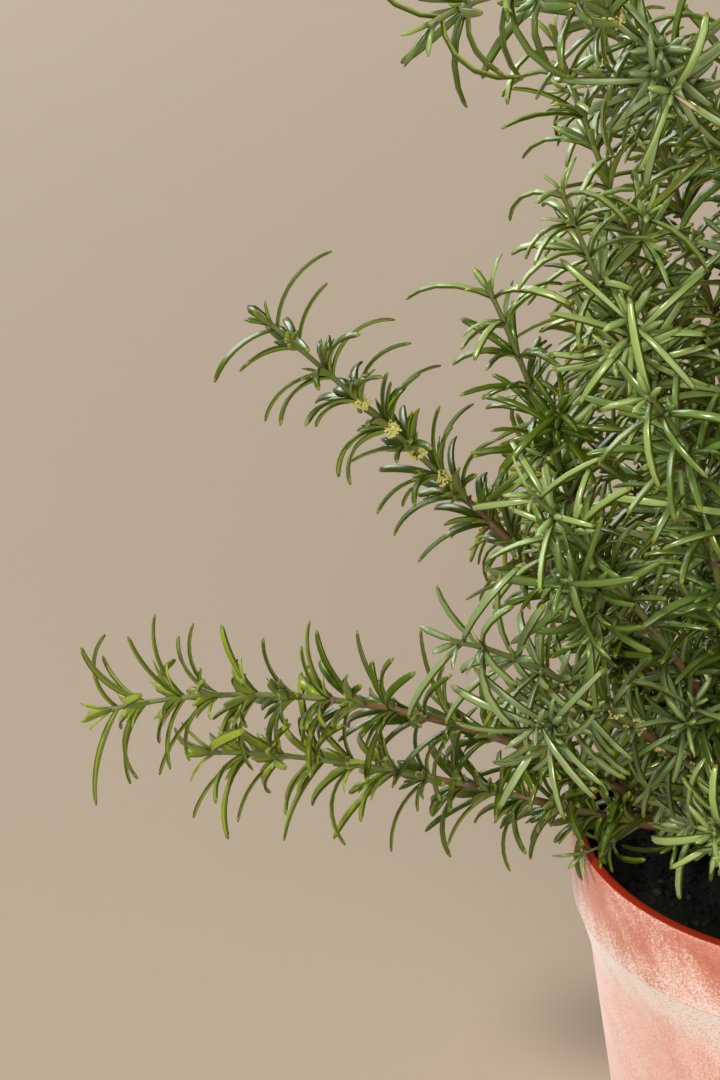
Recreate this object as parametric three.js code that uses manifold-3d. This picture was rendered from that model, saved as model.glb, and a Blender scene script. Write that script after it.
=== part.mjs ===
// Potted rosemary: a young, many-stemmed shrub in a round terracotta-coloured plastic pot.
// Millimetres and degrees, +Z up. The origin is on the pot's axis, in the plane of its underside.
// A bearing is counted from +X towards +Y, and a rise from level.

import * as THREE from 'three';
import { mergeVertices } from 'three/addons/utils/BufferGeometryUtils.js';
import Module from 'manifold-3d';

const wasm = await Module();
wasm.setup();

// Clearance between two pieces that meet.
const GAP = 0.3;

// Edges shorter than this are closed up after pieces are fused.
const FUSE_TOLERANCE = 0.02;

// Pot: a tapered body, a sloping shoulder under a deep collar, and a thick rounded rim.
const POT_SEGMENTS = 36;
const POT_HEIGHT = 160;
const RIM_RADIUS = 90;
const RIM_WIDTH = 5.5;
const RIM_ROUNDING = 1.7;
const COLLAR_HEIGHT = 33.7;
const COLLAR_FOOT_RADIUS = 87.4;
const COLLAR_STEP = 0.7;
const BODY_TOP_RADIUS = 79.2;
const BODY_TOP_HEIGHT = 103.5;
const BODY_FOOT_RADIUS = 61.7;
const WALL = 2.9;
const FLOOR = 6;
const FOOT_RING_WIDTH = 9;
const FOOT_CHANNEL_DEPTH = 3;
const FOOT_PAD_RADIUS = 22;
const DRAIN_HOLES = 6;
const DRAIN_RADIUS = 4;
const DRAIN_CIRCLE = 38;

// Soil: it fills the pot to below the rim and is a little lower at the wall.
const SOIL_HEIGHT = 146;
const SOIL_EDGE_DROP = 1.5;
const SOIL_FLAT_RADIUS = 55;

// Trunk: a short woody stem with flared roots, leaning a little, cut flat at the soil.
const TRUNK_HEIGHT = 66;
const TRUNK_RADIUS = 7;
const TRUNK_TOP_RADIUS = 5.4;
const TRUNK_LEAN = 5;
const TRUNK_LEAN_BEARING = 160;
const TRUNK_SIDES = 12;
const TRUNK_STEPS = 8;
const FLARE = 0.55;
const FLARE_HEIGHT = 7;
const FLARE_ROOTS = 4;

// Boughs: bare limbs from the trunk to where each one forks into two leafy shoots.
const BOUGH_RADIUS = 3.1;
const BOUGH_TIP_RADIUS = 2.5;
const BOUGH_SIDES = 5;
const BOUGH_STEPS = 4;

// Shoots: the stem of each foliage mass and its side twigs.
const SHOOT_RADIUS = 1.6;
const SHOOT_TIP_RADIUS = 1.1;
const SHOOT_OFFSET = 1.8;
const SHOOT_SIDES = 3;
const SHOOT_STEPS = 5;
const SIDE_TWIGS = 3;
const SIDE_TWIG_LENGTH = 62;
const SIDE_TWIG_RADIUS = 1.3;
const SIDE_TWIG_STEPS = 3;
const SIDE_TWIG_ANGLE = 48;
const SIDE_TWIG_FIRST = 0.12;
const SIDE_TWIG_SPAN = 0.66;
const SIDE_TWIG_UPTURN = 0.6;
const GOLDEN_TURN = 137.5;

// Leaves: opposite pairs, each pair turned a quarter from the last.
const LEAF_LENGTH = 45;
const LEAF_WIDTH = 7;
const LEAF_THICKNESS = 1.4;
const LEAF_WIDEST = 0.34;
const LEAF_ANGLE = 52;
const LEAF_TIP_ANGLE = 38;
const LEAF_RECURVE = 0.12;
const LAST_LEAF_ANGLE = 14;
const LAST_LEAF_SHARE = 0.6;
const PAIR_SPACING = 42;
const FIRST_PAIR = 12;
const LEAF_FITS = [1, 0.75, 0.55];
const LEAF_CHECKS = [0.25, 0.45, 0.65, 0.85, 1];

// How much nearer to its own stem than to another one a leaf's or a twig's midline stays,
// and how far it keeps from the surface of a bough, the trunk or the pot.
const SPACE_MARGIN = 6;
const LIMB_MARGIN = 3.4;
const AXIS_SAMPLE = 4;
const SEED = 20190;

// The rings of boughs, from the lowest to the leaders. start, startRise: height on the trunk and
// the rise there. forkReach, forkHeight: where the bough forks. reach, height, rise: the tips of
// its shoots. fan: the angle between its two shoots. All heights are above the soil.
const RINGS = [
  {
    name: 'low', count: 7, bearing: 190, start: 6, startStep: 9, startRise: 20,
    forkReach: 50, forkHeight: 32, reach: 246, height: 92, rise: 8, fan: 26,
  },
  {
    name: 'middle', count: 6, bearing: 180, start: 27, startStep: 8, startRise: 36,
    forkReach: 48, forkHeight: 62, reach: 204, height: 204, rise: 42, fan: 30,
  },
  {
    name: 'upper', count: 4, bearing: 206, start: 48, startStep: 0, startRise: 46,
    forkReach: 38, forkHeight: 126, reach: 152, height: 322, rise: 62, fan: 44,
  },
  {
    name: 'leader', count: 2, bearing: 251, start: TRUNK_HEIGHT, startStep: 0, startRise: 90,
    forkReach: 18, forkHeight: 180, reach: 62, height: 430, rise: 80, fan: 80,
  },
];

// How far the shoots of one ring differ: in bearing as a share of the fan, in reach and height as
// a share of the ring's, in rise in degrees. The second shoot of a bough is shorter and higher.
const SPREAD = { bearing: 0.25, reach: 0.16, height: 0.24, rise: 12 };
const SECOND_SHOOT = { shorter: 0.08, higher: 14 };

// Boughs and shoots that stand out from their ring. leave: the rise where a shoot leaves its
// bough, for the shoots that arch. sideTwigs: how many it has, where that isn't the usual number.
const SINGLE_BOUGHS = {
  low_1: { startRise: 14, forkHeight: 19 },
  low_2: { bearing: 226, startRise: 40, forkHeight: 54 },
  low_7: { bearing: 132 },
};
const SINGLE_SHOOTS = {
  low_1_a: { bearing: 189, reach: 270, height: 93, rise: -10, leave: 38, sideTwigs: 0 },
  low_1_b: { bearing: 190.5, reach: 234, height: 75, rise: 7, sideTwigs: 0 },
  low_2_a: { bearing: 219, reach: 186, height: 164, rise: 26 },
  low_2_b: { bearing: 262, reach: 206, height: 122 },
  low_7_a: { bearing: 116, reach: 216, height: 92 },
  low_7_b: { bearing: 152, reach: 134, height: 112, rise: 30 },
  middle_1_a: { bearing: 179, reach: 207, height: 226, rise: 42, sideTwigs: 0 },
  middle_1_b: { bearing: 197, reach: 138, height: 254, rise: 64 },
  middle_2_a: { bearing: 218, reach: 152, height: 204, rise: 44 },
  middle_2_b: { bearing: 232, reach: 144, height: 246, rise: 36 },
  middle_6_b: { bearing: 128, reach: 142, height: 192 },
  upper_1_a: { bearing: 186, reach: 112, height: 330, rise: 66 },
  upper_1_b: { bearing: 203, reach: 120, height: 290, rise: 66 },
  leader_1_a: { bearing: 218, reach: 197, height: 358, rise: -22, leave: 80 },
};

const DEGREE = Math.PI / 180;
const UP = new THREE.Vector3(0, 0, 1);

// A seeded row of numbers between 0 and 1.
function seededRandom(seed) {
  let state = seed;
  return () => {
    state = (state * 16807) % 2147483647;
    return state / 2147483647;
  };
}

// Each shoot draws its own row of numbers, so that its twigs don't hang on its neighbours'.
function shootSeed(index) {
  return (SEED * 7919 * (index + 1)) % 2147483647;
}

function heading(bearing, rise) {
  const level = Math.cos(rise * DEGREE);
  return new THREE.Vector3(
    level * Math.cos(bearing * DEGREE),
    level * Math.sin(bearing * DEGREE),
    Math.sin(rise * DEGREE),
  );
}

// A point at a bearing and reach from the pot's axis, and a height above the soil.
function placeAt(bearing, reach, height) {
  return heading(bearing, 0).multiplyScalar(reach).setZ(SOIL_HEIGHT + height);
}

// A smooth curve that leaves its start in one direction and reaches its end in another.
function limbCurve(start, startHeading, end, endHeading) {
  const handle = start.distanceTo(end) / 3;
  const leave = start.clone().addScaledVector(startHeading, handle);
  const arrive = end.clone().addScaledVector(endHeading, -handle);
  return new THREE.CubicBezierCurve3(start, leave, arrive, end);
}

// The tangent of a curve at t, with a level side and an upper direction square to it.
function frameAt(curve, t) {
  const along = curve.getTangent(t);
  const span = curve.getPoint(1).sub(curve.getPoint(0));
  const side = new THREE.Vector3(-span.y, span.x, 0).normalize();
  const upper = along.clone().cross(side).normalize();
  return { along, side: upper.clone().cross(along), upper };
}

// The centre of a limb that is made of straight steps between points of its curve.
function centreAt(curve, steps, t) {
  const step = Math.min(Math.floor(t * steps), steps - 1);
  const from = curve.getPoint(step / steps);
  return from.lerp(curve.getPoint((step + 1) / steps), t * steps - step);
}

// A closed mesh whose shared corners are one, as a solid that can be joined and cut.
function toSolid(geometry) {
  const bare = new THREE.BufferGeometry();
  bare.setAttribute('position', geometry.getAttribute('position'));
  bare.setIndex(geometry.getIndex());
  const merged = mergeVertices(bare, 1e-5);
  return new wasm.Manifold(new wasm.Mesh({
    numProp: 3,
    vertProperties: Float32Array.from(merged.getAttribute('position').array),
    triVerts: Uint32Array.from(merged.getIndex().array),
  }));
}

function toGeometry(solid) {
  const mesh = solid.getMesh();
  const geometry = new THREE.BufferGeometry();
  geometry.setAttribute('position', new THREE.BufferAttribute(mesh.vertProperties, 3));
  geometry.setIndex(new THREE.BufferAttribute(mesh.triVerts, 1));
  geometry.computeVertexNormals();
  return geometry;
}

// A round, tapering limb: a closed cylinder of unit height, bent along a curve.
function limbGeometry(curve, startRadius, endRadius, sides, steps, swell = () => 1) {
  const geometry = new THREE.CylinderGeometry(endRadius, startRadius, 1, sides, steps);
  const position = geometry.getAttribute('position');
  for (let i = 0; i < position.count; i += 1) {
    const t = position.getY(i) + 0.5;
    const frame = frameAt(curve, t);
    const turn = Math.atan2(position.getX(i), position.getZ(i));
    const factor = swell(t, turn);
    const point = curve.getPoint(t)
      .addScaledVector(frame.upper, position.getX(i) * factor)
      .addScaledVector(frame.side, position.getZ(i) * factor);
    position.setXYZ(i, point.x, point.y, point.z);
  }
  return geometry;
}

// Pot

function potGeometry() {
  const collarFoot = POT_HEIGHT - COLLAR_HEIGHT;
  const rimInner = RIM_RADIUS - RIM_WIDTH;
  const channelOuter = BODY_FOOT_RADIUS - FOOT_RING_WIDTH;
  const edge = RIM_ROUNDING / 2;
  const profile = [
    [0, 0],
    [FOOT_PAD_RADIUS, 0],
    [FOOT_PAD_RADIUS + FOOT_CHANNEL_DEPTH, FOOT_CHANNEL_DEPTH],
    [channelOuter - FOOT_CHANNEL_DEPTH, FOOT_CHANNEL_DEPTH],
    [channelOuter, 0],
    [BODY_FOOT_RADIUS - 1.2, 0],
    [BODY_FOOT_RADIUS, 1.5],
    [BODY_TOP_RADIUS, BODY_TOP_HEIGHT],
    [COLLAR_FOOT_RADIUS - COLLAR_STEP, collarFoot],
    [COLLAR_FOOT_RADIUS, collarFoot + COLLAR_STEP],
    [RIM_RADIUS, POT_HEIGHT - RIM_ROUNDING],
    [RIM_RADIUS - edge, POT_HEIGHT - edge / 2],
    [RIM_RADIUS - RIM_ROUNDING, POT_HEIGHT],
    [rimInner + RIM_ROUNDING, POT_HEIGHT],
    [rimInner + edge, POT_HEIGHT - edge / 2],
    [rimInner, POT_HEIGHT - RIM_ROUNDING],
    [COLLAR_FOOT_RADIUS - WALL - COLLAR_STEP, collarFoot],
    [BODY_TOP_RADIUS - WALL, BODY_TOP_HEIGHT],
    [BODY_FOOT_RADIUS - WALL, FLOOR],
    [0, FLOOR],
  ];
  const shell = latheSolid(profile);
  const holes = [];
  for (let i = 0; i < DRAIN_HOLES; i += 1) {
    const hole = new THREE.CylinderGeometry(DRAIN_RADIUS, DRAIN_RADIUS, 4 * FLOOR, 8);
    hole.rotateX(Math.PI / 2);
    const spot = heading((360 * i) / DRAIN_HOLES, 0).multiplyScalar(DRAIN_CIRCLE);
    hole.translate(spot.x, spot.y, 0);
    holes.push(toSolid(hole));
  }
  return toGeometry(shell.subtract(wasm.Manifold.union(holes)));
}

// A turned solid about the Z axis, from radii and heights that start and end on the axis.
function latheSolid(profile) {
  const points = profile.map(([radius, height]) => new THREE.Vector2(radius, height));
  const lathe = new THREE.LatheGeometry(points, POT_SEGMENTS);
  lathe.rotateX(Math.PI / 2);
  return toSolid(lathe);
}

// Potting soil

function soilGeometry() {
  const collarFoot = POT_HEIGHT - COLLAR_HEIGHT;
  const rimInner = RIM_RADIUS - RIM_WIDTH;
  const collarInner = COLLAR_FOOT_RADIUS - WALL - COLLAR_STEP;
  const edgeHeight = SOIL_HEIGHT - SOIL_EDGE_DROP;
  const share = (edgeHeight - collarFoot) / (COLLAR_HEIGHT - RIM_ROUNDING);
  const edgeRadius = collarInner + (rimInner - collarInner) * share;
  const clear = GAP / Math.cos(Math.PI / POT_SEGMENTS);
  const profile = [
    [0, FLOOR + GAP],
    [BODY_FOOT_RADIUS - WALL - clear, FLOOR + GAP],
    [BODY_TOP_RADIUS - WALL - clear, BODY_TOP_HEIGHT],
    [collarInner - clear, collarFoot],
    [edgeRadius - clear, edgeHeight],
    [SOIL_FLAT_RADIUS, SOIL_HEIGHT],
    [0, SOIL_HEIGHT],
  ];
  return toGeometry(latheSolid(profile));
}

// Trunk

function trunkCurve() {
  const foot = new THREE.Vector3(0, 0, SOIL_HEIGHT + GAP);
  const lean = TRUNK_HEIGHT * Math.tan(TRUNK_LEAN * DEGREE);
  const top = placeAt(TRUNK_LEAN_BEARING, lean, TRUNK_HEIGHT);
  return limbCurve(foot, UP, top, UP);
}

// The flare dies away with height, and is lobed where the main roots go down.
function trunkSwell(t, turn) {
  const lobe = 1 + 0.3 * Math.cos(FLARE_ROOTS * turn);
  return 1 + FLARE * lobe * Math.exp((-t * TRUNK_HEIGHT) / FLARE_HEIGHT);
}

function trunkGeometry(clearance) {
  return limbGeometry(
    trunkCurve(),
    TRUNK_RADIUS + clearance,
    TRUNK_TOP_RADIUS + clearance,
    TRUNK_SIDES,
    TRUNK_STEPS,
    trunkSwell,
  );
}

// Skeleton

// Every bough with its curve, and the two shoots that go on from its tip.
function growSkeleton() {
  const random = seededRandom(SEED);
  const trunk = trunkCurve();
  const boughs = [];
  for (const ring of RINGS) {
    for (let i = 0; i < ring.count; i += 1) {
      boughs.push(growBough(ring, i, trunk, random));
    }
  }
  return boughs;
}

function growBough(ring, index, trunk, random) {
  const name = `${ring.name}_${index + 1}`;
  const ringBearing = ring.bearing + (360 * index) / ring.count;
  const bough = { ...ring, bearing: ringBearing, ...SINGLE_BOUGHS[name] };
  const tips = ['a', 'b'].map((letter, which) => ({
    letter,
    bearing: bough.bearing + ring.fan * (which - 0.5 + SPREAD.bearing * (random() - 0.5)),
    reach: ring.reach * (1 - SPREAD.reach * random() - SECOND_SHOOT.shorter * which),
    height: ring.height * (1 + SPREAD.height * (random() - 0.5)) + SECOND_SHOOT.higher * which,
    rise: ring.rise + SPREAD.rise * (random() - 0.5),
    ...SINGLE_SHOOTS[`${name}_${letter}`],
  }));
  for (const tip of tips) {
    tip.point = placeAt(tip.bearing, tip.reach, tip.height);
  }
  const start = trunk.getPoint((ring.start + ring.startStep * (index % 2)) / TRUNK_HEIGHT);
  if (ring.start === TRUNK_HEIGHT) {
    start.addScaledVector(heading(bough.bearing, 0), BOUGH_RADIUS + GAP);
  }
  const fork = placeAt(bough.bearing, bough.forkReach, bough.forkHeight);
  const middle = tips[0].point.clone().lerp(tips[1].point, 0.5);
  const forkHeading = middle.sub(start).normalize();
  const curve = limbCurve(start, heading(bough.bearing, bough.startRise), fork, forkHeading);
  const shoots = tips.map((tip, which) => growShoot(tip, tips[1 - which], fork, forkHeading));
  return { name, curve, shoots };
}

// Where a shoot is bound for as it leaves the fork.
function firstHeading(tip, fork) {
  return tip.leave ? heading(tip.bearing, tip.leave) : tip.point.clone().sub(fork).normalize();
}

// A shoot starts beside its twin on the bough's end and bends away to its own tip.
function growShoot(tip, twin, fork, forkHeading) {
  const apart = firstHeading(tip, fork).sub(firstHeading(twin, fork));
  apart.addScaledVector(forkHeading, -apart.dot(forkHeading)).normalize();
  const startHeading = tip.leave ? firstHeading(tip, fork) : forkHeading;
  const clear = GAP + SHOOT_RADIUS * Math.sin(startHeading.angleTo(forkHeading));
  const start = fork.clone()
    .addScaledVector(forkHeading, clear)
    .addScaledVector(apart, SHOOT_OFFSET);
  const curve = limbCurve(start, startHeading, tip.point, heading(tip.bearing, tip.rise));
  return { letter: tip.letter, curve, sideTwigs: tip.sideTwigs ?? SIDE_TWIGS };
}

// Foliage

// The space that each stem keeps to itself: points along every shoot and bough.
function sampleAxis(curve) {
  const count = Math.ceil(curve.getLength() / AXIS_SAMPLE);
  return curve.getPoints(count);
}

function distanceToAxis(point, axis) {
  return Math.sqrt(Math.min(...axis.map((sample) => sample.distanceToSquared(point))));
}

function isInOwnSpace(point, own, axes) {
  const room = distanceToAxis(point, own.axis) + SPACE_MARGIN;
  const nearOther = axes.shoots.some((other) => other !== own && distanceToAxis(point, other.axis) < room);
  if (nearOther) {
    return false;
  }
  const nearBough = axes.boughs.some((axis) => distanceToAxis(point, axis) < BOUGH_RADIUS + LIMB_MARGIN);
  return !nearBough && !isNearPot(point) && !isNearTrunk(point);
}

function isNearPot(point) {
  const reach = Math.hypot(point.x, point.y);
  const isOverPot = reach < RIM_RADIUS + LIMB_MARGIN;
  return isOverPot && point.z < POT_HEIGHT + LIMB_MARGIN;
}

function isNearTrunk(point) {
  const reach = Math.hypot(point.x, point.y);
  return reach < 2 * TRUNK_RADIUS && point.z < SOIL_HEIGHT + TRUNK_HEIGHT + LIMB_MARGIN;
}

// A direction that leaves a stem at an angle, on the side given by a turn round the stem.
function branchHeading(frame, turn, angle) {
  const out = frame.side.clone().multiplyScalar(Math.cos(turn * DEGREE));
  out.addScaledVector(frame.upper, Math.sin(turn * DEGREE));
  const along = frame.along.clone().multiplyScalar(Math.cos(angle * DEGREE));
  return along.addScaledVector(out, Math.sin(angle * DEGREE)).normalize();
}

// Side twigs leave the stem in turn on all its sides and then bend upwards.
function growSideTwigs(shoot, axes, random) {
  const stem = shoot.curve;
  const twigs = [];
  for (let i = 0; i < shoot.sideTwigs; i += 1) {
    const t = SIDE_TWIG_FIRST + (SIDE_TWIG_SPAN * (i + 0.6 * random())) / SIDE_TWIGS;
    const turn = GOLDEN_TURN * i + 70 * random();
    const length = SIDE_TWIG_LENGTH * (0.65 + 0.6 * random()) * (1 - 0.45 * t);
    const frame = frameAt(stem, t);
    const out = branchHeading(frame, turn, SIDE_TWIG_ANGLE);
    const start = centreAt(stem, SHOOT_STEPS, t);
    const bentUp = out.clone().addScaledVector(UP, SIDE_TWIG_UPTURN).normalize();
    const end = start.clone().addScaledVector(out, 0.5 * length).addScaledVector(bentUp, 0.5 * length);
    const curve = limbCurve(start, out, end, bentUp);
    const outer = [0.4, 0.6, 0.8, 1].map((share) => curve.getPoint(share));
    if (outer.every((point) => isInOwnSpace(point, shoot, axes))) {
      twigs.push(curve);
    }
  }
  return twigs;
}

// A leaf's midline: it leaves the root straight and bends back towards its underside.
function leafPoint(leaf, share) {
  return leaf.root.clone()
    .addScaledVector(leaf.along, leaf.length * share)
    .addScaledVector(leaf.upper, -leaf.length * LEAF_RECURVE * share * share);
}

// A slim bipyramid, bent along its midline, with its root sunk in the twig.
function leafGeometry(leaf) {
  const geometry = new THREE.OctahedronGeometry(1);
  const side = leaf.upper.clone().cross(leaf.along);
  const position = geometry.getAttribute('position');
  for (let i = 0; i < position.count; i += 1) {
    const x = position.getX(i);
    const y = position.getY(i);
    const z = position.getZ(i);
    const share = z > 0.5 ? 1 : z < -0.5 ? 0 : LEAF_WIDEST;
    const point = leafPoint(leaf, share)
      .addScaledVector(side, 0.5 * LEAF_WIDTH * x)
      .addScaledVector(leaf.upper, 0.5 * LEAF_THICKNESS * y);
    position.setXYZ(i, point.x, point.y, point.z);
  }
  return geometry;
}

function leafOn(curve, steps, t, turn, angle, length) {
  const frame = frameAt(curve, t);
  const along = branchHeading(frame, turn, angle);
  const out = branchHeading(frame, turn, 90);
  const upper = out.clone().addScaledVector(along, -out.dot(along)).normalize().negate();
  return { root: centreAt(curve, steps, t), along, upper, length };
}

// Opposite pairs along a twig, each a quarter turn from the last, and one leaf at its tip.
function growLeaves(curve, steps, firstPair, random) {
  const length = curve.getLength();
  const leaves = [];
  let turn = 90 * random();
  for (let distance = firstPair; distance < length - 4; distance += PAIR_SPACING) {
    const t = curve.getUtoTmapping(distance / length);
    const size = LEAF_LENGTH * (0.85 + 0.3 * random()) * (1 - 0.25 * t * t);
    const angle = LEAF_ANGLE + (LEAF_TIP_ANGLE - LEAF_ANGLE) * t;
    leaves.push(leafOn(curve, steps, t, turn, angle, size));
    leaves.push(leafOn(curve, steps, t, turn + 180, angle, size));
    turn += 90 + 24 * (random() - 0.5);
  }
  leaves.push(leafOn(curve, steps, 0.98, turn, LAST_LEAF_ANGLE, LAST_LEAF_SHARE * LEAF_LENGTH));
  return leaves;
}

// The leaf at full length, or a shorter one where it would leave its space, or none.
function fitLeaf(leaf, own, axes) {
  return LEAF_FITS
    .map((share) => ({ ...leaf, length: leaf.length * share }))
    .find((shorter) => LEAF_CHECKS.every((share) => isInOwnSpace(leafPoint(shorter, share), own, axes)));
}

function foliageGeometry(shoot, axes, random) {
  const twigs = growSideTwigs(shoot, axes, random);
  const solids = [
    toSolid(limbGeometry(shoot.curve, SHOOT_RADIUS, SHOOT_TIP_RADIUS, SHOOT_SIDES, SHOOT_STEPS)),
  ];
  for (const twig of twigs) {
    const geometry = limbGeometry(twig, SIDE_TWIG_RADIUS, SHOOT_TIP_RADIUS, SHOOT_SIDES, SIDE_TWIG_STEPS);
    solids.push(toSolid(geometry));
  }
  const leaves = [
    ...growLeaves(shoot.curve, SHOOT_STEPS, FIRST_PAIR, random),
    ...twigs.flatMap((twig) => growLeaves(twig, SIDE_TWIG_STEPS, 0.6 * PAIR_SPACING, random)),
  ];
  for (const leaf of leaves) {
    const fitting = fitLeaf(leaf, shoot, axes);
    if (fitting) {
      solids.push(toSolid(leafGeometry(fitting)));
    }
  }
  return toGeometry(largestPiece(wasm.Manifold.union(solids).simplify(FUSE_TOLERANCE)));
}

function largestPiece(solid) {
  const pieces = solid.decompose();
  return pieces.reduce((best, piece) => (piece.volume() > best.volume() ? piece : best));
}

// Materials

const potPlastic = new THREE.MeshStandardMaterial({ color: 0xc46a4c, roughness: 0.7, metalness: 0 });
const soilMaterial = new THREE.MeshStandardMaterial({ color: 0x1d1813, roughness: 0.95, metalness: 0 });
const bark = new THREE.MeshStandardMaterial({ color: 0x6f543c, roughness: 0.9, metalness: 0 });
const foliage = new THREE.MeshStandardMaterial({ color: 0x3f6b33, roughness: 0.5, metalness: 0 });

// Assembly

const group = new THREE.Group();

function addPiece(name, geometry, material) {
  const mesh = new THREE.Mesh(geometry, material);
  mesh.name = name;
  group.add(mesh);
}

function addPlant() {
  const boughs = growSkeleton();
  const trunkHollow = toSolid(trunkGeometry(GAP));
  const shoots = boughs.flatMap((bough) => bough.shoots);
  for (const shoot of shoots) {
    shoot.axis = sampleAxis(shoot.curve);
  }
  const axes = { shoots, boughs: boughs.map((bough) => sampleAxis(bough.curve)) };
  for (const bough of boughs) {
    const limb = limbGeometry(bough.curve, BOUGH_RADIUS, BOUGH_TIP_RADIUS, BOUGH_SIDES, BOUGH_STEPS);
    addPiece(`bough_${bough.name}`, toGeometry(largestPiece(toSolid(limb).subtract(trunkHollow))), bark);
    for (const shoot of bough.shoots) {
      const name = `foliage_${bough.name}_${shoot.letter}`;
      const random = seededRandom(shootSeed(shoots.indexOf(shoot)));
      addPiece(name, foliageGeometry(shoot, axes, random), foliage);
    }
  }
}

addPiece('pot', potGeometry(), potPlastic);
addPiece('potting_soil', soilGeometry(), soilMaterial);
addPiece('trunk', toGeometry(toSolid(trunkGeometry(0))), bark);
addPlant();

export default group;
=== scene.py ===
"""The looks of a potted rosemary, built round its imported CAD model.

Laid out as a Blender add-on and run as a script. The plant grows by the same seeded rule as the
CAD source, in millimetres, and is carried on to finer twigs and to leaves near their real size.
"""

import functools
import math

import bmesh
import bpy
import numpy as np
from bpy.props import FloatProperty, FloatVectorProperty, IntProperty, PointerProperty
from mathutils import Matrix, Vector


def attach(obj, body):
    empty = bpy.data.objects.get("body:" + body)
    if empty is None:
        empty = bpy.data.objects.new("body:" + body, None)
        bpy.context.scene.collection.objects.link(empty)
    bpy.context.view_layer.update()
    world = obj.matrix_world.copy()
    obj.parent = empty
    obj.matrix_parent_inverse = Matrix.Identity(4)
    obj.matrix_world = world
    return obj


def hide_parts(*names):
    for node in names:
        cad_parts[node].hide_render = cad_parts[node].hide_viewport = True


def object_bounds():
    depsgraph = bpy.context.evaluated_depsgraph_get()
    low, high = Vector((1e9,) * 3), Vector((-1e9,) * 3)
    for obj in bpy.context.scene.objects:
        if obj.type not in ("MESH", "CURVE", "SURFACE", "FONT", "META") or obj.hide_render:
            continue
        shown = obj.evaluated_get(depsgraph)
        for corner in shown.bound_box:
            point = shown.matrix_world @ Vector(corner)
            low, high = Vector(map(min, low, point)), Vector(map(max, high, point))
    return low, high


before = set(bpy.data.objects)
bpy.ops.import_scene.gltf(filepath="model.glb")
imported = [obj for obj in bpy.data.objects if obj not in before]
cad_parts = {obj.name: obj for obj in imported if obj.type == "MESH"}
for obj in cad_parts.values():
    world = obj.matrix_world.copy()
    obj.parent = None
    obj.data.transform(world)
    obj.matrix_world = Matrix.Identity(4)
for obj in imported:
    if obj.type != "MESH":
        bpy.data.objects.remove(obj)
CAD_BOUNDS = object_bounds()

bl_info = {
    "name": "Potted Rosemary",
    "version": (1, 0, 0),
    "blender": (4, 5, 0),
    "location": "3D View > Sidebar > Rosemary",
    "description": "Dresses the packed model of a potted rosemary with its pot, soil, limbs and leaves",
    "category": "Add Mesh",
}

MM = 0.001
UP = np.array([0.0, 0.0, 1.0])

# Pot and soil, as in the CAD source: millimetres from the pot's underside.
POT_HEIGHT = 160
RIM_RADIUS = 90
RIM_INNER_RADIUS = 84.5
RIM_ROUNDING = 1.7
COLLAR_HEIGHT = 33.7
COLLAR_FOOT = POT_HEIGHT - COLLAR_HEIGHT
COLLAR_FOOT_RADIUS = 87.4
COLLAR_STEP = 0.7
BODY_TOP_RADIUS = 79.2
BODY_TOP_HEIGHT = 103.5
BODY_FOOT_RADIUS = 61.7
WALL = 2.9
COLLAR_INNER_RADIUS = COLLAR_FOOT_RADIUS - WALL - COLLAR_STEP
FLOOR = 6
FOOT_RING_WIDTH = 9
FOOT_CHANNEL_DEPTH = 3
FOOT_PAD_RADIUS = 22
DRAIN_HOLES = 6
DRAIN_RADIUS = 4
DRAIN_CIRCLE = 38
SOIL_HEIGHT = 146
SOIL_EDGE_DROP = 1.5
SOIL_FLAT_RADIUS = 55
GAP = 0.3

# Trunk, boughs and shoots, as in the CAD source.
TRUNK_HEIGHT = 66
TRUNK_RADIUS = 7
TRUNK_TOP_RADIUS = 5.4
TRUNK_LEAN = 5
TRUNK_LEAN_BEARING = 160
FLARE = 0.55
FLARE_HEIGHT = 7
FLARE_ROOTS = 4
BOUGH_RADIUS = 3.1
BOUGH_TIP_RADIUS = 2.5
SHOOT_RADIUS = 1.6
SHOOT_OFFSET = 1.8
SIDE_TWIGS = 3
SIDE_TWIG_LENGTH = 62
SIDE_TWIG_ANGLE = 48
SIDE_TWIG_FIRST = 0.12
SIDE_TWIG_SPAN = 0.66
SIDE_TWIG_UPTURN = 0.6
GOLDEN_TURN = 137.5
SPACE_MARGIN = 6
LIMB_MARGIN = 3.4
AXIS_SAMPLE = 4
SEED = 20190
SHOOT_SEED_STEP = 7919
RANDOM_STEP = 16807
RANDOM_RANGE = 2147483647

# Each ring of boughs, with the spacing of the finer twigs that the scene adds to it, and the share
# of its leaves that have one nearly as long on either side.
RINGS = [
    dict(
        name="low", count=7, bearing=190, start=6, start_step=9, start_rise=20, fork_reach=50,
        fork_height=32, reach=246, height=92, rise=8, fan=26, twig_spacing=36, beside=0.65,
    ),
    dict(
        name="middle", count=6, bearing=180, start=27, start_step=8, start_rise=36, fork_reach=48,
        fork_height=62, reach=204, height=204, rise=42, fan=30, twig_spacing=34, beside=0.6,
    ),
    dict(
        name="upper", count=4, bearing=206, start=48, start_step=0, start_rise=46, fork_reach=38,
        fork_height=126, reach=152, height=322, rise=62, fan=44, twig_spacing=18, beside=0.85,
    ),
    dict(
        name="leader", count=2, bearing=251, start=TRUNK_HEIGHT, start_step=0, start_rise=90,
        fork_reach=18, fork_height=180, reach=62, height=430, rise=80, fan=80, twig_spacing=16,
        beside=0.85,
    ),
]
SPREAD = dict(bearing=0.25, reach=0.16, height=0.24, rise=12)
SECOND_SHOOT = dict(shorter=0.08, higher=14)

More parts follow.
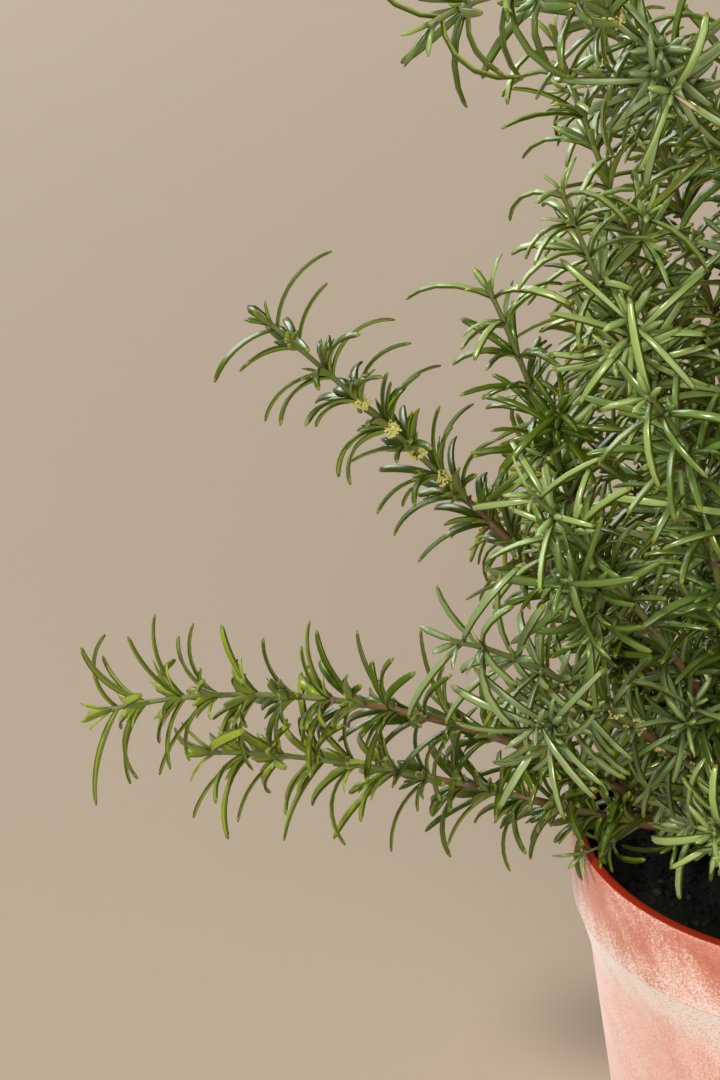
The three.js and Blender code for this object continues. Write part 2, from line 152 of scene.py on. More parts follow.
# What single boughs and shoots have of their own, to match the photo.
SINGLE_BOUGHS = {
    "low_1": dict(start_rise=14, fork_height=19),
    "low_2": dict(bearing=226, start_rise=40, fork_height=54),
    "low_7": dict(bearing=132),
}
SINGLE_SHOOTS = {
    "low_1_a": dict(
        bearing=189, reach=270, height=93, rise=-10, leave=38, side_twigs=0, fresh=80, leaf_share=1.12
    ),
    "low_1_b": dict(bearing=190.5, reach=234, height=75, rise=7, side_twigs=0, fresh=100, leaf_share=1.12),
    "low_2_a": dict(bearing=219, reach=186, height=164, rise=26),
    "low_2_b": dict(bearing=262, reach=206, height=122),
    "low_7_a": dict(bearing=116, reach=216, height=92),
    "low_7_b": dict(bearing=152, reach=134, height=112, rise=30),
    "middle_1_a": dict(bearing=179, reach=207, height=226, rise=42, side_twigs=0, fresh=0, leaf_share=1.02),
    "middle_1_b": dict(bearing=197, reach=138, height=254, rise=64),
    "middle_2_a": dict(bearing=218, reach=152, height=204, rise=44),
    "middle_2_b": dict(bearing=232, reach=144, height=246, rise=36),
    "middle_6_b": dict(bearing=128, reach=142, height=192),
    "upper_1_a": dict(bearing=186, reach=112, height=330, rise=66),
    "upper_1_b": dict(bearing=203, reach=120, height=290, rise=66),
    "leader_1_a": dict(bearing=218, reach=197, height=358, rise=-22, leave=80),
}

# What the scene adds to the source's limbs: finer twigs on the shoots, the last ones on the side
# twigs, and short ones on the bare boughs.
FINE_TWIG_LENGTH = 40
FINE_TWIG_START = 14
FINE_TWIG_ANGLE = 46
FINE_TWIG_UPTURN = 0.45
FINE_TWIG_END = 0.7
BARE_SHOOT_END = 0.22
LAST_TWIG_LENGTH = 24
LAST_TWIG_START = 12
LAST_TWIG_SPACING = 0.7
BOUGH_TWIGS = 4
BOUGH_TWIG_LENGTH = 46
BOUGH_TWIG_FIRST = 0.35
BOUGH_TWIG_SPAN = 0.6
BOUGH_COLLAR = 0.35
BOUGH_COLLAR_LENGTH = 6
BOUGH_END = 2.2
BOUGH_END_RADIUS = 1.2
FORK_DEPTH = 3
ROOT_DEPTH = 0.8
STEM_END = 0.5
SHOOT_RADII = (2.1, 0.85)
SIDE_TWIG_RADII = (1.25, 0.65)
FINE_TWIG_RADII = (0.95, 0.55)
NODE_SWELL = 0.28
NODE_RINGS = [-1.4, 0, 1.4, 6]
FRESH_REACH = 30
FRESH_TWIG_REACH = 20
GREEN_WOOD = 95
GREEN_PATCH = 10
GREEN_PATCH_STEP = 34
OLD_WOOD = 2.8
SCAR_START = 60

# How the skin's kinds are numbered along a stem.
NEW, YOUNG, OLD, SCARRED = range(4)

# Leaves: the nodes nearest the tip as distance from it, leaf length share and angle.
TIP_NODES = [(0.6, 0.3, 14), (1.4, 0.45, 28), (3.4, 1.06, 50)]
FIRST_NODE = 6
LEAF_ANGLE = 42
LEAF_BEND = 1.3
BESIDE_TURN = 52
AXIL_START = 6
RIPE_START = 50
LONG_LEAF = 17
SMALL_THICKNESS = 0.85
LEAF_SAMPLES = np.array([0.25, 0.45, 0.65, 0.85, 1.0])
LEAF_FITS = [1, 0.75, 0.55]
BOX_MARGIN = 2
RIM_CLEARANCE = 2.2
SOIL_CLEARANCE = 2
DRY_SHARE = 0.008
DRY_LENGTH = 18
STUB_LENGTH = 3
STUB_WIDTH = 2
STUB_ANGLE = 35
REDDISH_STUBS = 0.65

# The leaves' finishes, each with its gloss, coat and felt, and their numbers in the same order.
LEAF_FINISHES = {
    "deep": (0.3, 0.55, 0), "middle": (0.3, 0.65, 0), "blue": (0.28, 0.7, 0), "olive": (0.34, 0.5, 0),
    "pale": (0.3, 0.7, 0), "bright": (0.34, 0.6, 0), "fresh": (0.36, 0.45, 0), "dry": (0.7, 0, 0),
    "scar": (0.7, 0, 0), "underside": (0.62, 0, 0.14), "margin": (0.42, 0.15, 0), "tip": (0.5, 0, 0),
}
DEEP, MIDDLE, BLUE, OLIVE, SUNLIT_PALE, PAINTED_SUNLIT, FRESH, DRY, SCAR, UNDER, MARGIN_AND_SHADE, TIP = range(12)
SPRAY_TONES = [DEEP, BLUE, MIDDLE, SUNLIT_PALE, DEEP, BLUE, OLIVE, SUNLIT_PALE]
# upper_1, upper_2 and low_2 take mostly the lighter tones: painted sunlight on the sunny sprays, and on
# low_2 painted light on the low crown that the crown above shades.
BOUGH_TONES = {
    "low_2": [SUNLIT_PALE, MIDDLE, SUNLIT_PALE, BLUE, PAINTED_SUNLIT, SUNLIT_PALE],
    "middle_1": [DEEP, BLUE, DEEP, DEEP, MIDDLE],
    "middle_2": [DEEP, BLUE, DEEP, MIDDLE, DEEP, BLUE],
    "upper_1": [PAINTED_SUNLIT, SUNLIT_PALE, PAINTED_SUNLIT, MIDDLE, PAINTED_SUNLIT],
    "upper_2": [MIDDLE, SUNLIT_PALE, PAINTED_SUNLIT, BLUE],
}

# How leaves grow on the shoots that stand alone and on those in the crown: the least number in a
# tuft, the share of the full width, the droop, the tone of new growth, and the share that have one
# nearly as long on either side, which the crown takes from its rings.
LONE_HABIT = dict(tuft=4.6, width=1.14, droop=0, new_tone=FRESH, beside=0.85)
# In the crown, new growth takes the lightest tone, which is painted sunlight.
CROWN_HABIT = dict(tuft=1.8, width=0.88, droop=0.3, new_tone=PAINTED_SUNLIT)

# A leaf's stations as share of its length, half width and half thickness, and its cross-section,
# anticlockwise seen from the tip: edge, midrib, edge, shoulder, groove, shoulder. The parts are the
# finishes of the faces between, where OWN is the leaf's own tone.
OWN = -1
LEAF_STATIONS = [
    (0, 0.44, 0.9), (0.15, 0.72, 1), (0.36, 0.95, 1), (0.58, 1, 1), (0.79, 0.93, 0.95),
    (0.945, 0.7, 0.8), (1, 0.3, 0.42),
]
LONE_STATIONS = [
    (0, 0.44, 0.9), (0.08, 0.6, 0.96), (0.18, 0.76, 1), (0.29, 0.89, 1), (0.41, 0.97, 1), (0.53, 1, 1),
    (0.65, 1, 1), (0.77, 0.95, 0.96), (0.87, 0.85, 0.9), (0.95, 0.67, 0.8), (1, 0.3, 0.42),
]
LEAF_SECTION = [(-1, -0.3), (0, -0.9), (1, -0.3), (0.72, 0.65), (0, 0.2), (-0.72, 0.65)]
# The margin faces of a long leaf take a darker colour: the rolled margins' own colour together with painted
# shade along the roll.
LEAF_PARTS = np.array([UNDER, UNDER, MARGIN_AND_SHADE, OWN, OWN, MARGIN_AND_SHADE])
SMALL_STATIONS = [(0, 0.42, 0.9), (0.36, 0.92, 1), (0.76, 0.98, 0.9), (1, 0.26, 0.4)]
SMALL_SECTION = [(-1, -0.1), (0, -0.9), (1, -0.1), (0, 0.8)]
SMALL_PARTS = np.array([UNDER, UNDER, OWN, OWN])

# The columns of a leaf's row of numbers.
ROOT, ALONG, UPPER = slice(0, 3), slice(3, 6), slice(6, 9)
LENGTH, WIDTH, BEND, TWIST, TONE, LONE = range(9, 15)

# The first shoots of these boughs bear buds between two distances from the tip, so many at a node.
BUDDED = {"middle_1": (34, 96, 120), "low_2": (50, 150, 60), "leader_1": (70, 190, 60)}
BUD_CHANCE = 0.018
STRAY_BUDS = 36
BUD_SIZE = 0.00064
BUD_WIDTHS = (0.5, 1.0)
BUD_LENGTHS = (0.9, 1.7)
BUD_REACH = 1.7
BUD_SHIFT = 6

# The second colours of what is mottled, the tint of the leaves' gloss, and how fast the strokes on
# the pot turn round it, in radians a metre of height.
FADED_PLASTIC = (0.76, 0.3, 0.19)
CHALKY_BLOOM = (0.83, 0.76, 0.69)
DRY_SOIL = (0.03, 0.023, 0.015)
DRY_CRUMBS = (0.022, 0.017, 0.011)
GREY_BARK = (0.22, 0.2, 0.15)
LEAF_GLOSS = (0.75, 0.9, 0.3)
STROKE_TURN = 6.4

# How fine the meshes are, and the sizes of what is uneven on them.
POT_SEGMENTS = 192
SOIL_SEGMENTS = 144
SOIL_RINGS = 56
SOIL_WAVES = (34, 21, 13, 8, 5, 3.2)
WAVE_HEIGHT = 0.022
WAVE_FADE = 8
CRUMB_DEPTH = 4
CORNER_STEPS = 4
DRAIN_SEGMENTS = 32
TRUNK_SIDES = 64
TRUNK_STEPS = 90
BOUGH_SIDES = 14
BOUGH_RELIEF = dict(relief=0.00016, relief_size=700.0)
TWIG_RELIEF = dict(relief=0.00012, relief_size=1500.0)

# The camera and the lights, in metres and degrees.
CAMERA_PLACE = (-0.1746, -0.6678, 0.6217)
CAMERA_TILT = 26.6
CAMERA_LENS = 66.7
SENSOR_WIDTH = 36
SUN_TILT = -42
SUN_TURN = 32
SUN_ANGLE = 9
SUN_COLOUR = (1, 0.96, 0.89)
FILL = dict(place=(-0.05, -1.5, 0.9), size=1.5, colour=(1, 0.98, 0.95))
WINDOW = dict(place=(-4, 5, 4), size=5.2, colour=(0.93, 0.97, 1))
LIT_HEIGHT = 0.3
WORLD_COLOUR = (1, 0.97, 0.92, 1)
WORLD_STRENGTH = 0.15
FLOOR_REACH = 40


# Sizes and colours that a user would change


def colour_setting(name, description, *default):
    return FloatVectorProperty(
        name=name, description=description, default=default, subtype="COLOR", size=3, min=0, max=1
    )


def number_setting(name, description, default, unit="NONE"):
    return FloatProperty(name=name, description=description, default=default, unit=unit, min=0)


class RosemaryPotSettings(bpy.types.PropertyGroup):
    """Colours of the pot and the soil, and the soil's crumbs."""

    plastic: colour_setting("Plastic", "Colour of the clean plastic", 0.29, 0.021, 0.006)
    bloom: colour_setting("Bloom", "Colour of the whitish bloom on the outside", 0.8, 0.57, 0.51)
    soil: colour_setting("Soil", "Colour of the moist potting soil", 0.003, 0.003, 0.002)
    crumb_density: number_setting("Crumbs", "Number of soil crumbs on each square metre", 90000)
    crumb_size: number_setting("Crumb size", "Radius of the largest soil crumbs", 0.0018, "LENGTH")


class RosemaryLeafSettings(bpy.types.PropertyGroup):
    """Sizes and colours of the leaves."""

    length: number_setting("Length", "Length of a full-grown leaf", 0.0305, "LENGTH")
    width: number_setting("Width", "Width of a full-grown leaf", 0.0032, "LENGTH")
    thickness: number_setting("Thickness", "Thickness of a leaf with its rolled margins", 0.0018, "LENGTH")
    small_length: number_setting("Small length", "Length of a leaf in the tufts", 0.0155, "LENGTH")
    spacing: number_setting("Spacing", "Distance from one pair of leaves to the next", 0.0135, "LENGTH")
    deep: colour_setting("Deep", "Upper face of the darkest sprays", 0.055, 0.094, 0.002)
    middle: colour_setting("Middle", "Upper face of most sprays", 0.09, 0.138, 0.02)
    blue: colour_setting("Blue", "Upper face of the blue-green sprays", 0.098, 0.16, 0.03)
    olive: colour_setting("Olive", "Upper face of the olive sprays", 0.14, 0.172, 0.022)
    # The next colour is a lighter, whiter copy of the leaf colour: painted sunlight with its whitish
    # highlights, given to the sunny boughs and at random to other sprays.
    pale: colour_setting("Pale", "Upper face of the sprays on the sunny side", 0.18, 0.245, 0.095)
    # The next colour is a lighter copy of the leaf colour: painted sunlight on the sprays in full light.
    bright: colour_setting("Bright", "Upper face of the sprays in full light", 0.225, 0.305, 0.088)
    fresh: colour_setting("Fresh", "Upper face of the new growth", 0.225, 0.285, 0.022)
    dry: colour_setting("Dry", "Dried leaves", 0.38, 0.3, 0.16)
    scar: colour_setting("Scars", "Bases of shed leaves at the older nodes", 0.2, 0.085, 0.04)
    underside: colour_setting("Underside", "Felted underside", 0.235, 0.285, 0.034)
    # The next colour is darker than the leaf's upper face: the rolled margins' own colour together with
    # painted shade along the roll.
    margin: colour_setting("Margin", "Rolled margins of the long leaves", 0.055, 0.072, 0.002)
    tip: colour_setting("Tip", "Leaf tip", 0.16, 0.172, 0.022)


class RosemaryWoodSettings(bpy.types.PropertyGroup):
    """Sizes and colours of the trunk, boughs, twigs and buds."""

    bark_light: colour_setting("Light bark", "Raised strips of the bark", 0.26, 0.17, 0.1)
    bark_dark: colour_setting("Dark bark", "Fissures of the bark", 0.07, 0.043, 0.026)
    young_wood: colour_setting("Young wood", "Brown skin of the younger twigs", 0.21, 0.12, 0.048)
    green_wood: colour_setting("Green wood", "Green skin of the newest twigs", 0.16, 0.19, 0.05)
    scar: colour_setting("Scars", "Reddish rings at the older nodes", 0.19, 0.08, 0.036)
    bud: colour_setting("Buds", "Pale buds at some nodes", 0.78, 0.72, 0.24)
    relief: number_setting("Relief", "Depth of the bark's relief on the trunk", 0.0011, "LENGTH")
    sides: IntProperty(name="Sides", description="Number of sides of a twig", default=7, min=3)


class RosemaryStageSettings(bpy.types.PropertyGroup):
    """The floor and the lights."""

    floor: colour_setting("Floor", "Colour of the floor", 0.35, 0.285, 0.217)
    key_power: number_setting("Key light", "Strength of the soft sun on the left", 2.7)
    fill_power: number_setting("Fill light", "Power of the light in front", 20, "POWER")
    window_power: number_setting("Window light", "Power of the wide light behind", 480, "POWER")


# Node trees


class Field:
    """One output of a node. Maths on numbers adds Math nodes."""

    def __init__(self, graph, socket):
        self.graph = graph
        self.socket = socket

    def maths(self, operation, *values):
        return self.graph.add("ShaderNodeMath", dict(enumerate(values)), operation=operation)

    def __add__(self, other):
        return self.maths("ADD", self, other)

    def __radd__(self, other):
        return self.maths("ADD", other, self)

    def __sub__(self, other):
        return self.maths("SUBTRACT", self, other)

    def __rsub__(self, other):
        return self.maths("SUBTRACT", other, self)

    def __mul__(self, other):
        return self.maths("MULTIPLY", self, other)

    def __rmul__(self, other):
        return self.maths("MULTIPLY", other, self)


class Graph:
    """Adds nodes to a shader tree or a geometry tree."""

    def __init__(self, tree):
        self.tree = tree
        tree.nodes.clear()

    def node(self, kind, sockets=None, **settings):
        """A node with its settings made first, and then its sockets fed by name or by number."""
        node = self.tree.nodes.new(kind)
        for name, value in settings.items():
            setattr(node, name, value)
        for name, value in (sockets or {}).items():
            self.feed(node.inputs[name], value)
        return node

    def add(self, kind, sockets=None, output=0, **settings):
        """The wanted output of a new node."""
        return Field(self, self.node(kind, sockets, **settings).outputs[output])

    def feed(self, socket, value):
        if isinstance(value, Field):
            self.tree.links.new(value.socket, socket)
        elif socket.type == "RGBA":
            socket.default_value = (*value[:3], 1)
        else:
            socket.default_value = value

    def smooth(self, value, low, high):
        """0 below low and 1 above high, with a smooth step between."""
        sockets = {"Value": value, 1: low, 2: high}
        return self.add("ShaderNodeMapRange", sockets, interpolation_type="SMOOTHSTEP")

    def mix(self, share, colour, other):
        return self.add("ShaderNodeMix", {0: share, 6: colour, 7: other}, output=2, data_type="RGBA")

    def vectors(self, operation, first, second):
        return self.add("ShaderNodeVectorMath", {0: first, 1: second}, operation=operation)

    def scaled(self, vector, *factors):
        return self.vectors("MULTIPLY", vector, factors)

    def height(self, place):
        return self.add("ShaderNodeSeparateXYZ", {0: place}, output="Z")

    def noise(self, vector, scale, detail=2, roughness=0.5, output=0):
        sockets = {"Vector": vector, "Scale": scale, "Detail": detail, "Roughness": roughness}
        return self.add("ShaderNodeTexNoise", sockets, output)


class Surface(Graph):
    """A material with one Principled shader."""

    def __init__(self, name, **constants):
        self.material = bpy.data.materials.new(name)
        self.material.use_nodes = True
        super().__init__(self.material.node_tree)
        self.shader = self.node("ShaderNodeBsdfPrincipled")
        self.node("ShaderNodeOutputMaterial", {0: Field(self, self.shader.outputs[0])})
        self.place = self.add("ShaderNodeTexCoord", output="Object")
        self.set(**constants)

    def set(self, **values):
        """Feeds sockets of the shader: base_color stands for Base Color, and so on."""
        for name, value in values.items():
            label = name.replace("_", " ").title().replace("Ior", "IOR")
            self.feed(self.shader.inputs[label], value)

    def bump(self, height, distance, strength):
        sockets = {"Height": height, "Distance": distance, "Strength": strength}
        self.set(normal=self.add("ShaderNodeBump", sockets))


class Shape(Graph):
    """A geometry tree with named inputs, each of a kind such as Float or Material."""

    def __init__(self, name, **inputs):
        super().__init__(bpy.data.node_groups.new(name, "GeometryNodeTree"))
        sockets = self.tree.interface
        for label, kind in {"Geometry": "Geometry", **inputs}.items():
            sockets.new_socket(label, in_out="INPUT", socket_type=f"NodeSocket{kind}")
        sockets.new_socket("Geometry", in_out="OUTPUT", socket_type="NodeSocketGeometry")
        entry = self.node("NodeGroupInput")
        self.given = {socket.name: Field(self, socket) for socket in entry.outputs if socket.name}

    def kept(self, geometry, value, kind):
        """A geometry that keeps a value at its points, and that value."""
        node = self.node("GeometryNodeCaptureAttribute")
        node.capture_items.new(kind, "Kept")
        self.feed(node.inputs[0], geometry)
        self.feed(node.inputs[1], value)
        return Field(self, node.outputs[0]), Field(self, node.outputs[1])

    def named(self, name):
        """A number that the points bring along."""
        return self.add("GeometryNodeInputNamedAttribute", {"Name": name})

    def compare(self, value, operation, limit):
        return self.add("FunctionNodeCompare", {0: value, 1: limit}, operation=operation)

    def random_number(self, low, high, seed):
        return self.add("FunctionNodeRandomValue", {2: low, 3: high, "Seed": seed}, output=1)

    def grain(self):
        return self.add("GeometryNodeMeshIcoSphere", {"Radius": 1.0, "Subdivisions": 1})

    def scattered(self, points, part, seed, scale):
        """A part on each point, turned at random on all its axes."""
        sockets = {0: (0, 0, 0), 1: (6.3, 6.3, 6.3), "Seed": seed}
        turn = self.add("FunctionNodeRandomValue", sockets, data_type="FLOAT_VECTOR")
        sockets = {"Points": points, "Instance": part, "Rotation": turn, "Scale": scale}
        parts = self.add("GeometryNodeInstanceOnPoints", sockets)
        return self.add("GeometryNodeRealizeInstances", {"Geometry": parts})

    def painted(self, geometry, material, selection=True):
        sockets = {"Geometry": geometry, "Selection": selection, "Material": self.given[material]}
        return self.add("GeometryNodeSetMaterial", sockets)

    def close(self, geometry, **paints):
        """Ends the tree: instances realized, and each material set where its selection holds."""
        geometry = self.add("GeometryNodeRealizeInstances", {"Geometry": geometry})
        for material, selection in paints.items():
            geometry = self.painted(geometry, material, selection)
        self.node("NodeGroupOutput", {0: geometry})
        return self


# Materials


def grained(name, colour, rough, span, scale, detail, depth=0.0002, strength=0.5, **constants):
    """One plain colour, with a fine grain in its gloss and its relief."""
    surface = Surface(name, base_color=colour, **constants)
    grain = surface.noise(surface.place, scale, detail)
    surface.set(roughness=rough + span * grain)
    if depth:
        surface.bump(grain, depth, strength)
    return surface.material


def leaf_skin(name, colour, gloss, coat, felt):
    """A leaf's skin: one plain colour, dealt out by spray."""
    return grained(
        name, colour, gloss, 0.16, 1100, 2, 0.00012, 0.4, sheen_weight=felt, sheen_roughness=0.4,
        coat_weight=coat, coat_roughness=0.2, specular_ior_level=0.35, specular_tint=LEAF_GLOSS,
    )


def twig_skin(name, colour):
    return grained(name, colour, 0.5, 0.25, 1500, 3, specular_ior_level=0.25)


def pot_bloomed_plastic(pot):
    """The outside: plastic under a streaky, speckled, whitish bloom."""
    surface = Surface("pot_bloomed_plastic", sheen_weight=0.3, sheen_roughness=0.45)
    place = surface.place
    height = surface.height(place)

    # Strokes run down to the right: the noise is stretched along a helix round the pot.
    sockets = {"Vector": place, "Angle": STROKE_TURN * height}
    twist = surface.add("ShaderNodeVectorRotate", sockets, rotation_type="Z_AXIS")
    strokes = surface.noise(surface.scaled(twist, 1, 1, 0.16), 170, 5, 0.6) - 0.5
    patches = surface.noise(surface.scaled(twist, 1, 1, 0.6), 52, 3, 0.6) - 0.5
    broad = surface.noise(surface.scaled(twist, 1, 1, 0.5), 17, 1) - 0.5
    grains = surface.noise(surface.scaled(place, 1, 1, 1.6), 980, 4, 0.75) - 0.5

    # The collar is rubbed nearly clean, and the body is chalky below the collar's foot, where the
    # bloom was never touched.
    foot = COLLAR_FOOT * MM
    is_collar = surface.smooth(height, foot - 0.0008, foot + 0.0008)
    ragged = height + 0.05 * broad + 0.02 * patches
    chalk = surface.smooth(ragged, foot - 0.026, foot - 0.001) * (1 - is_collar)
    dusty_foot = (1 - surface.smooth(height + 0.04 * broad, foot, foot + 0.02)) * is_collar
    haze = 0.56 - 0.4 * is_collar + 0.34 * chalk + 0.38 * dusty_foot
    worn = haze + (0.3 + 0.55 * is_collar) * (0.8 * strokes + 1.9 * patches + 1.2 * broad)
    coarse = 1.5 + 2 * surface.smooth(broad, -0.15, 0.15) + 1.8 * dusty_foot + 2.6 * chalk
    bloom = surface.smooth(worn + coarse * grains, 0, 1)
    faded = surface.mix(0.75 - 0.2 * is_collar + 0.8 * patches, pot.plastic, FADED_PLASTIC)
    pale = surface.mix(0.85 * chalk + 0.3 * is_collar + 0.2 * dusty_foot, pot.bloom, CHALKY_BLOOM)
    surface.set(base_color=surface.mix(bloom, faded, pale), roughness=0.5 + 0.28 * bloom)
    surface.bump(grains + 0.3 * strokes, 0.00025, 0.4)
    return surface.material


def moist_soil(pot):
    surface = Surface("moist_soil", specular_ior_level=0.15)
    lumps = surface.noise(surface.place, 420, 5, 0.65)
    sockets = {"Vector": surface.place, "Scale": 700}
    fibres = surface.add("ShaderNodeTexVoronoi", sockets, output="Distance")
    tone = surface.mix(surface.smooth(lumps, 0.6, 0.82), pot.soil, DRY_SOIL)
    surface.set(base_color=tone, roughness=0.7 + 0.25 * lumps)
    surface.bump(lumps + 0.5 * fibres, 0.0009, 0.7)
    return surface.material


def crumb_soil(pot):
    surface = Surface("crumb_soil", specular_ior_level=0.15)
    lumps = surface.noise(surface.place, 900, 3, 0.6)
    kinds = surface.noise(surface.place, 160, 1)
    tone = surface.mix(surface.smooth(kinds, 0.46, 0.66), pot.soil, DRY_CRUMBS)
    surface.set(base_color=tone, roughness=0.72 + 0.22 * lumps)
    surface.bump(lumps, 0.0005, 0.7)
    return surface.material


def ridged_bark(wood):
    """Thin strips of bark along the limb, from the limb's own grain attribute."""
    surface = Surface("ridged_bark")
    grain = surface.add("ShaderNodeAttribute", output="Vector", attribute_name="grain")
    strips = surface.noise(surface.scaled(grain, 1, 1, 0.16), 620, 5, 0.62)
    flakes = surface.noise(grain, 240, 4, 0.6)
    tone = surface.smooth(strips * 0.65 + flakes * 0.35, 0.4, 0.64)
    colour = surface.mix(tone, wood.bark_dark, wood.bark_light)
    grey = surface.smooth(surface.noise(grain, 90, 2), 0.56, 0.7)
    surface.set(base_color=surface.mix(0.35 * grey, colour, GREY_BARK), roughness=0.72 + 0.2 * strips)
    surface.bump(strips + 0.5 * flakes, 0.0006, 0.8)
    return surface.material


# Meshes


def add_object(name, data):
    piece = bpy.data.objects.new(name, data)
    bpy.context.collection.objects.link(piece)
    return piece


def finish_piece(piece, nodes=()):
    """Ties a finished piece to the CAD body, and hides the solids that it stands for."""
    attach(piece, "root")
    if nodes:
        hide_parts(*nodes)


def array_piece(name, points, faces, materials=(), slots=None):
    """A piece from corners in millimetres and arrays of faces that each have one number of corners."""
    mesh = bpy.data.meshes.new(name)
    corners = np.concatenate([block.ravel() for block in faces])
    sizes = np.concatenate([np.full(len(block), block.shape[1]) for block in faces])
    starts = np.cumsum(sizes) - sizes
    mesh.vertices.add(len(points))
    mesh.vertices.foreach_set("co", (np.asarray(points) * MM).astype(np.float32).ravel())
    mesh.loops.add(len(corners))
    mesh.loops.foreach_set("vertex_index", corners.astype(np.int32))
    mesh.polygons.add(len(sizes))
    mesh.polygons.foreach_set("loop_start", starts.astype(np.int32))
    mesh.polygons.foreach_set("use_smooth", np.ones(len(sizes), bool))
    if slots is not None:
        mesh.polygons.foreach_set("material_index", slots.astype(np.int32))
    for material in materials:
        mesh.materials.append(material)
    mesh.update(calc_edges=True)
    mesh.validate()
    return add_object(name, mesh)


def path_object(name, paths):
    """An object of edges along paths, each a row of points with a radius and an age, in millimetres."""
    mesh = bpy.data.meshes.new(name)
    edges = []
    first = 0
    for points, _, _ in paths:
        edges += [(first + i, first + i + 1) for i in range(len(points) - 1)]
        first += len(points)
    mesh.from_pydata((np.vstack([path[0] for path in paths]) * MM).tolist(), edges, [])
    for place, label in ((1, "radius"), (2, "age")):
        values = np.concatenate([path[place] for path in paths]).astype(np.float32)
        mesh.attributes.new(label, "FLOAT", "POINT").data.foreach_set("value", values)
    return add_object(name, mesh)


def ring_quads(rings, around):
    """The quads between rings of corners that follow each other."""
    j = np.arange(around)
    following = (j + 1) % around
    start = np.arange(rings - 1)[:, None] * around
    quads = [start + j, start + following, start + around + following, start + around + j]
    return np.stack(quads, axis=-1).reshape(-1, 4)


def tube_faces(rings, around):
    """The quads of a closed tube, and a fan at each end round a corner added after its rings."""
    j = np.arange(around)
    following = (j + 1) % around
    count = rings * around
    bottom = np.stack([np.full(around, count), following, j], axis=-1)
    top = np.stack([np.full(around, count + 1), count - around + j, count - around + following], axis=-1)
    return [ring_quads(rings, around), bottom, top]


def rounded(corners):
    """A profile whose corners, each a radius, a height and a rounding, are turned into arcs."""
    profile = []
    for i, (radius, height, rounding) in enumerate(corners):
        corner = np.array([radius, height], float)
        if rounding == 0:
            profile.append(corner)
            continue
        before = np.array(corners[i - 1][:2], float) - corner
        after = np.array(corners[i + 1][:2], float) - corner
        reach = min(rounding, 0.45 * np.linalg.norm(before), 0.45 * np.linalg.norm(after))
        start = corner + reach * before / np.linalg.norm(before)
        end = corner + reach * after / np.linalg.norm(after)
        for t in np.linspace(0, 1, CORNER_STEPS + 1):
            profile.append((1 - t) ** 2 * start + 2 * t * (1 - t) * corner + t * t * end)
    return np.array(profile)


def lathe(profile, segments):
    """Corners and faces of a turned solid, from a profile that starts and ends on the axis."""
    turns = np.arange(segments) * 2 * math.pi / segments
    rings = profile[1:-1]
    x = np.outer(rings[:, 0], np.cos(turns))
    y = np.outer(rings[:, 0], np.sin(turns))
    z = np.repeat(rings[:, 1:], segments, axis=1)
    body = np.stack([x, y, z], axis=-1).reshape(-1, 3)
    points = np.vstack([body, [[0, 0, profile[0, 1]], [0, 0, profile[-1, 1]]]])
    return points, tube_faces(len(rings), segments)


def freeze(piece):
    """Turns what a piece's modifiers make of it into its plain mesh, and removes them."""
    bpy.context.view_layer.update()
    evaluated = piece.evaluated_get(bpy.context.evaluated_depsgraph_get())
    mesh = bpy.data.meshes.new_from_object(evaluated)
    piece.modifiers.clear()
    piece.data = mesh


def reshape(piece, shape, **values):
    """Gives a piece the mesh that a geometry tree makes of it."""
    modifier = piece.modifiers.new("Shape", "NODES")
    modifier.node_group = shape.tree
    for item in shape.tree.interface.items_tree:
        if item.name in values:
            modifier[item.identifier] = values[item.name]
    freeze(piece)


# Growth: the CAD source's seeded rule, in millimetres


def unit(vector):
    return vector / np.linalg.norm(vector, axis=-1, keepdims=True)


def seeded_random(seed):
    """A seeded row of numbers between 0 and 1."""
    state = seed

    def draw():
        nonlocal state
        state = state * RANDOM_STEP % RANDOM_RANGE
        return state / RANDOM_RANGE

    return draw


def about(rng, spread):
    """A random number of at most half the spread, either way."""
    return spread * (rng.random() - 0.5)


def heading(bearing, rise):
    bearing = math.radians(bearing)
    rise = math.radians(rise)
    level = math.cos(rise)
    return np.array([level * math.cos(bearing), level * math.sin(bearing), math.sin(rise)])


def place_at(bearing, reach, height):
    """A point at a bearing and reach from the pot's axis, and a height above the soil."""
    point = heading(bearing, 0) * reach
    point[2] = SOIL_HEIGHT + height
    return point


class Limb:
    """A smooth limb that leaves its start in one direction and reaches its end in another."""

    def __init__(self, start, start_heading, end, end_heading):
        handle = np.linalg.norm(end - start) / 3
        leave = start + handle * start_heading
        arrive = end - handle * end_heading
        self.corners = np.array([start, leave, arrive, end])
        self.shares = np.linspace(0, 1, 201)
        steps = np.linalg.norm(np.diff(self.at(self.shares), axis=0), axis=1)
        self.distances = np.concatenate([[0], np.cumsum(steps)])
        self.length = self.distances[-1]

    def at(self, share):
        t = np.asarray(share, float)[..., None]
        s = 1 - t
        a, b, c, d = self.corners
        return s**3 * a + 3 * s * s * t * b + 3 * s * t * t * c + t**3 * d

    def frame(self, share):
        """The heading at a share, with a level side and an upper direction square to it."""
        t = np.asarray(share, float)[..., None]
        s = 1 - t
        a, b, c, d = self.corners
        along = unit(s * s * (b - a) + 2 * s * t * (c - b) + t * t * (d - c))
        span = d - a
        upper = unit(np.cross(along, [-span[1], span[0], 0]))
        return along, np.cross(upper, along), upper

    def share_at(self, distance):
        return np.interp(distance, self.distances, self.shares)

    def axis(self):
        count = math.ceil(self.length / AXIS_SAMPLE)
        return self.at(np.linspace(0, 1, count + 1))


def trunk_limb():
    foot = np.array([0, 0, SOIL_HEIGHT + GAP])
    lean = TRUNK_HEIGHT * math.tan(math.radians(TRUNK_LEAN))
    return Limb(foot, UP, place_at(TRUNK_LEAN_BEARING, lean, TRUNK_HEIGHT), UP)


def grow_skeleton():
    """Every bough with its limb, and the two shoots that go on from its tip."""
    draw = seeded_random(SEED)
    trunk = trunk_limb()
    return [grow_bough(ring, i, trunk, draw) for ring in RINGS for i in range(ring["count"])]


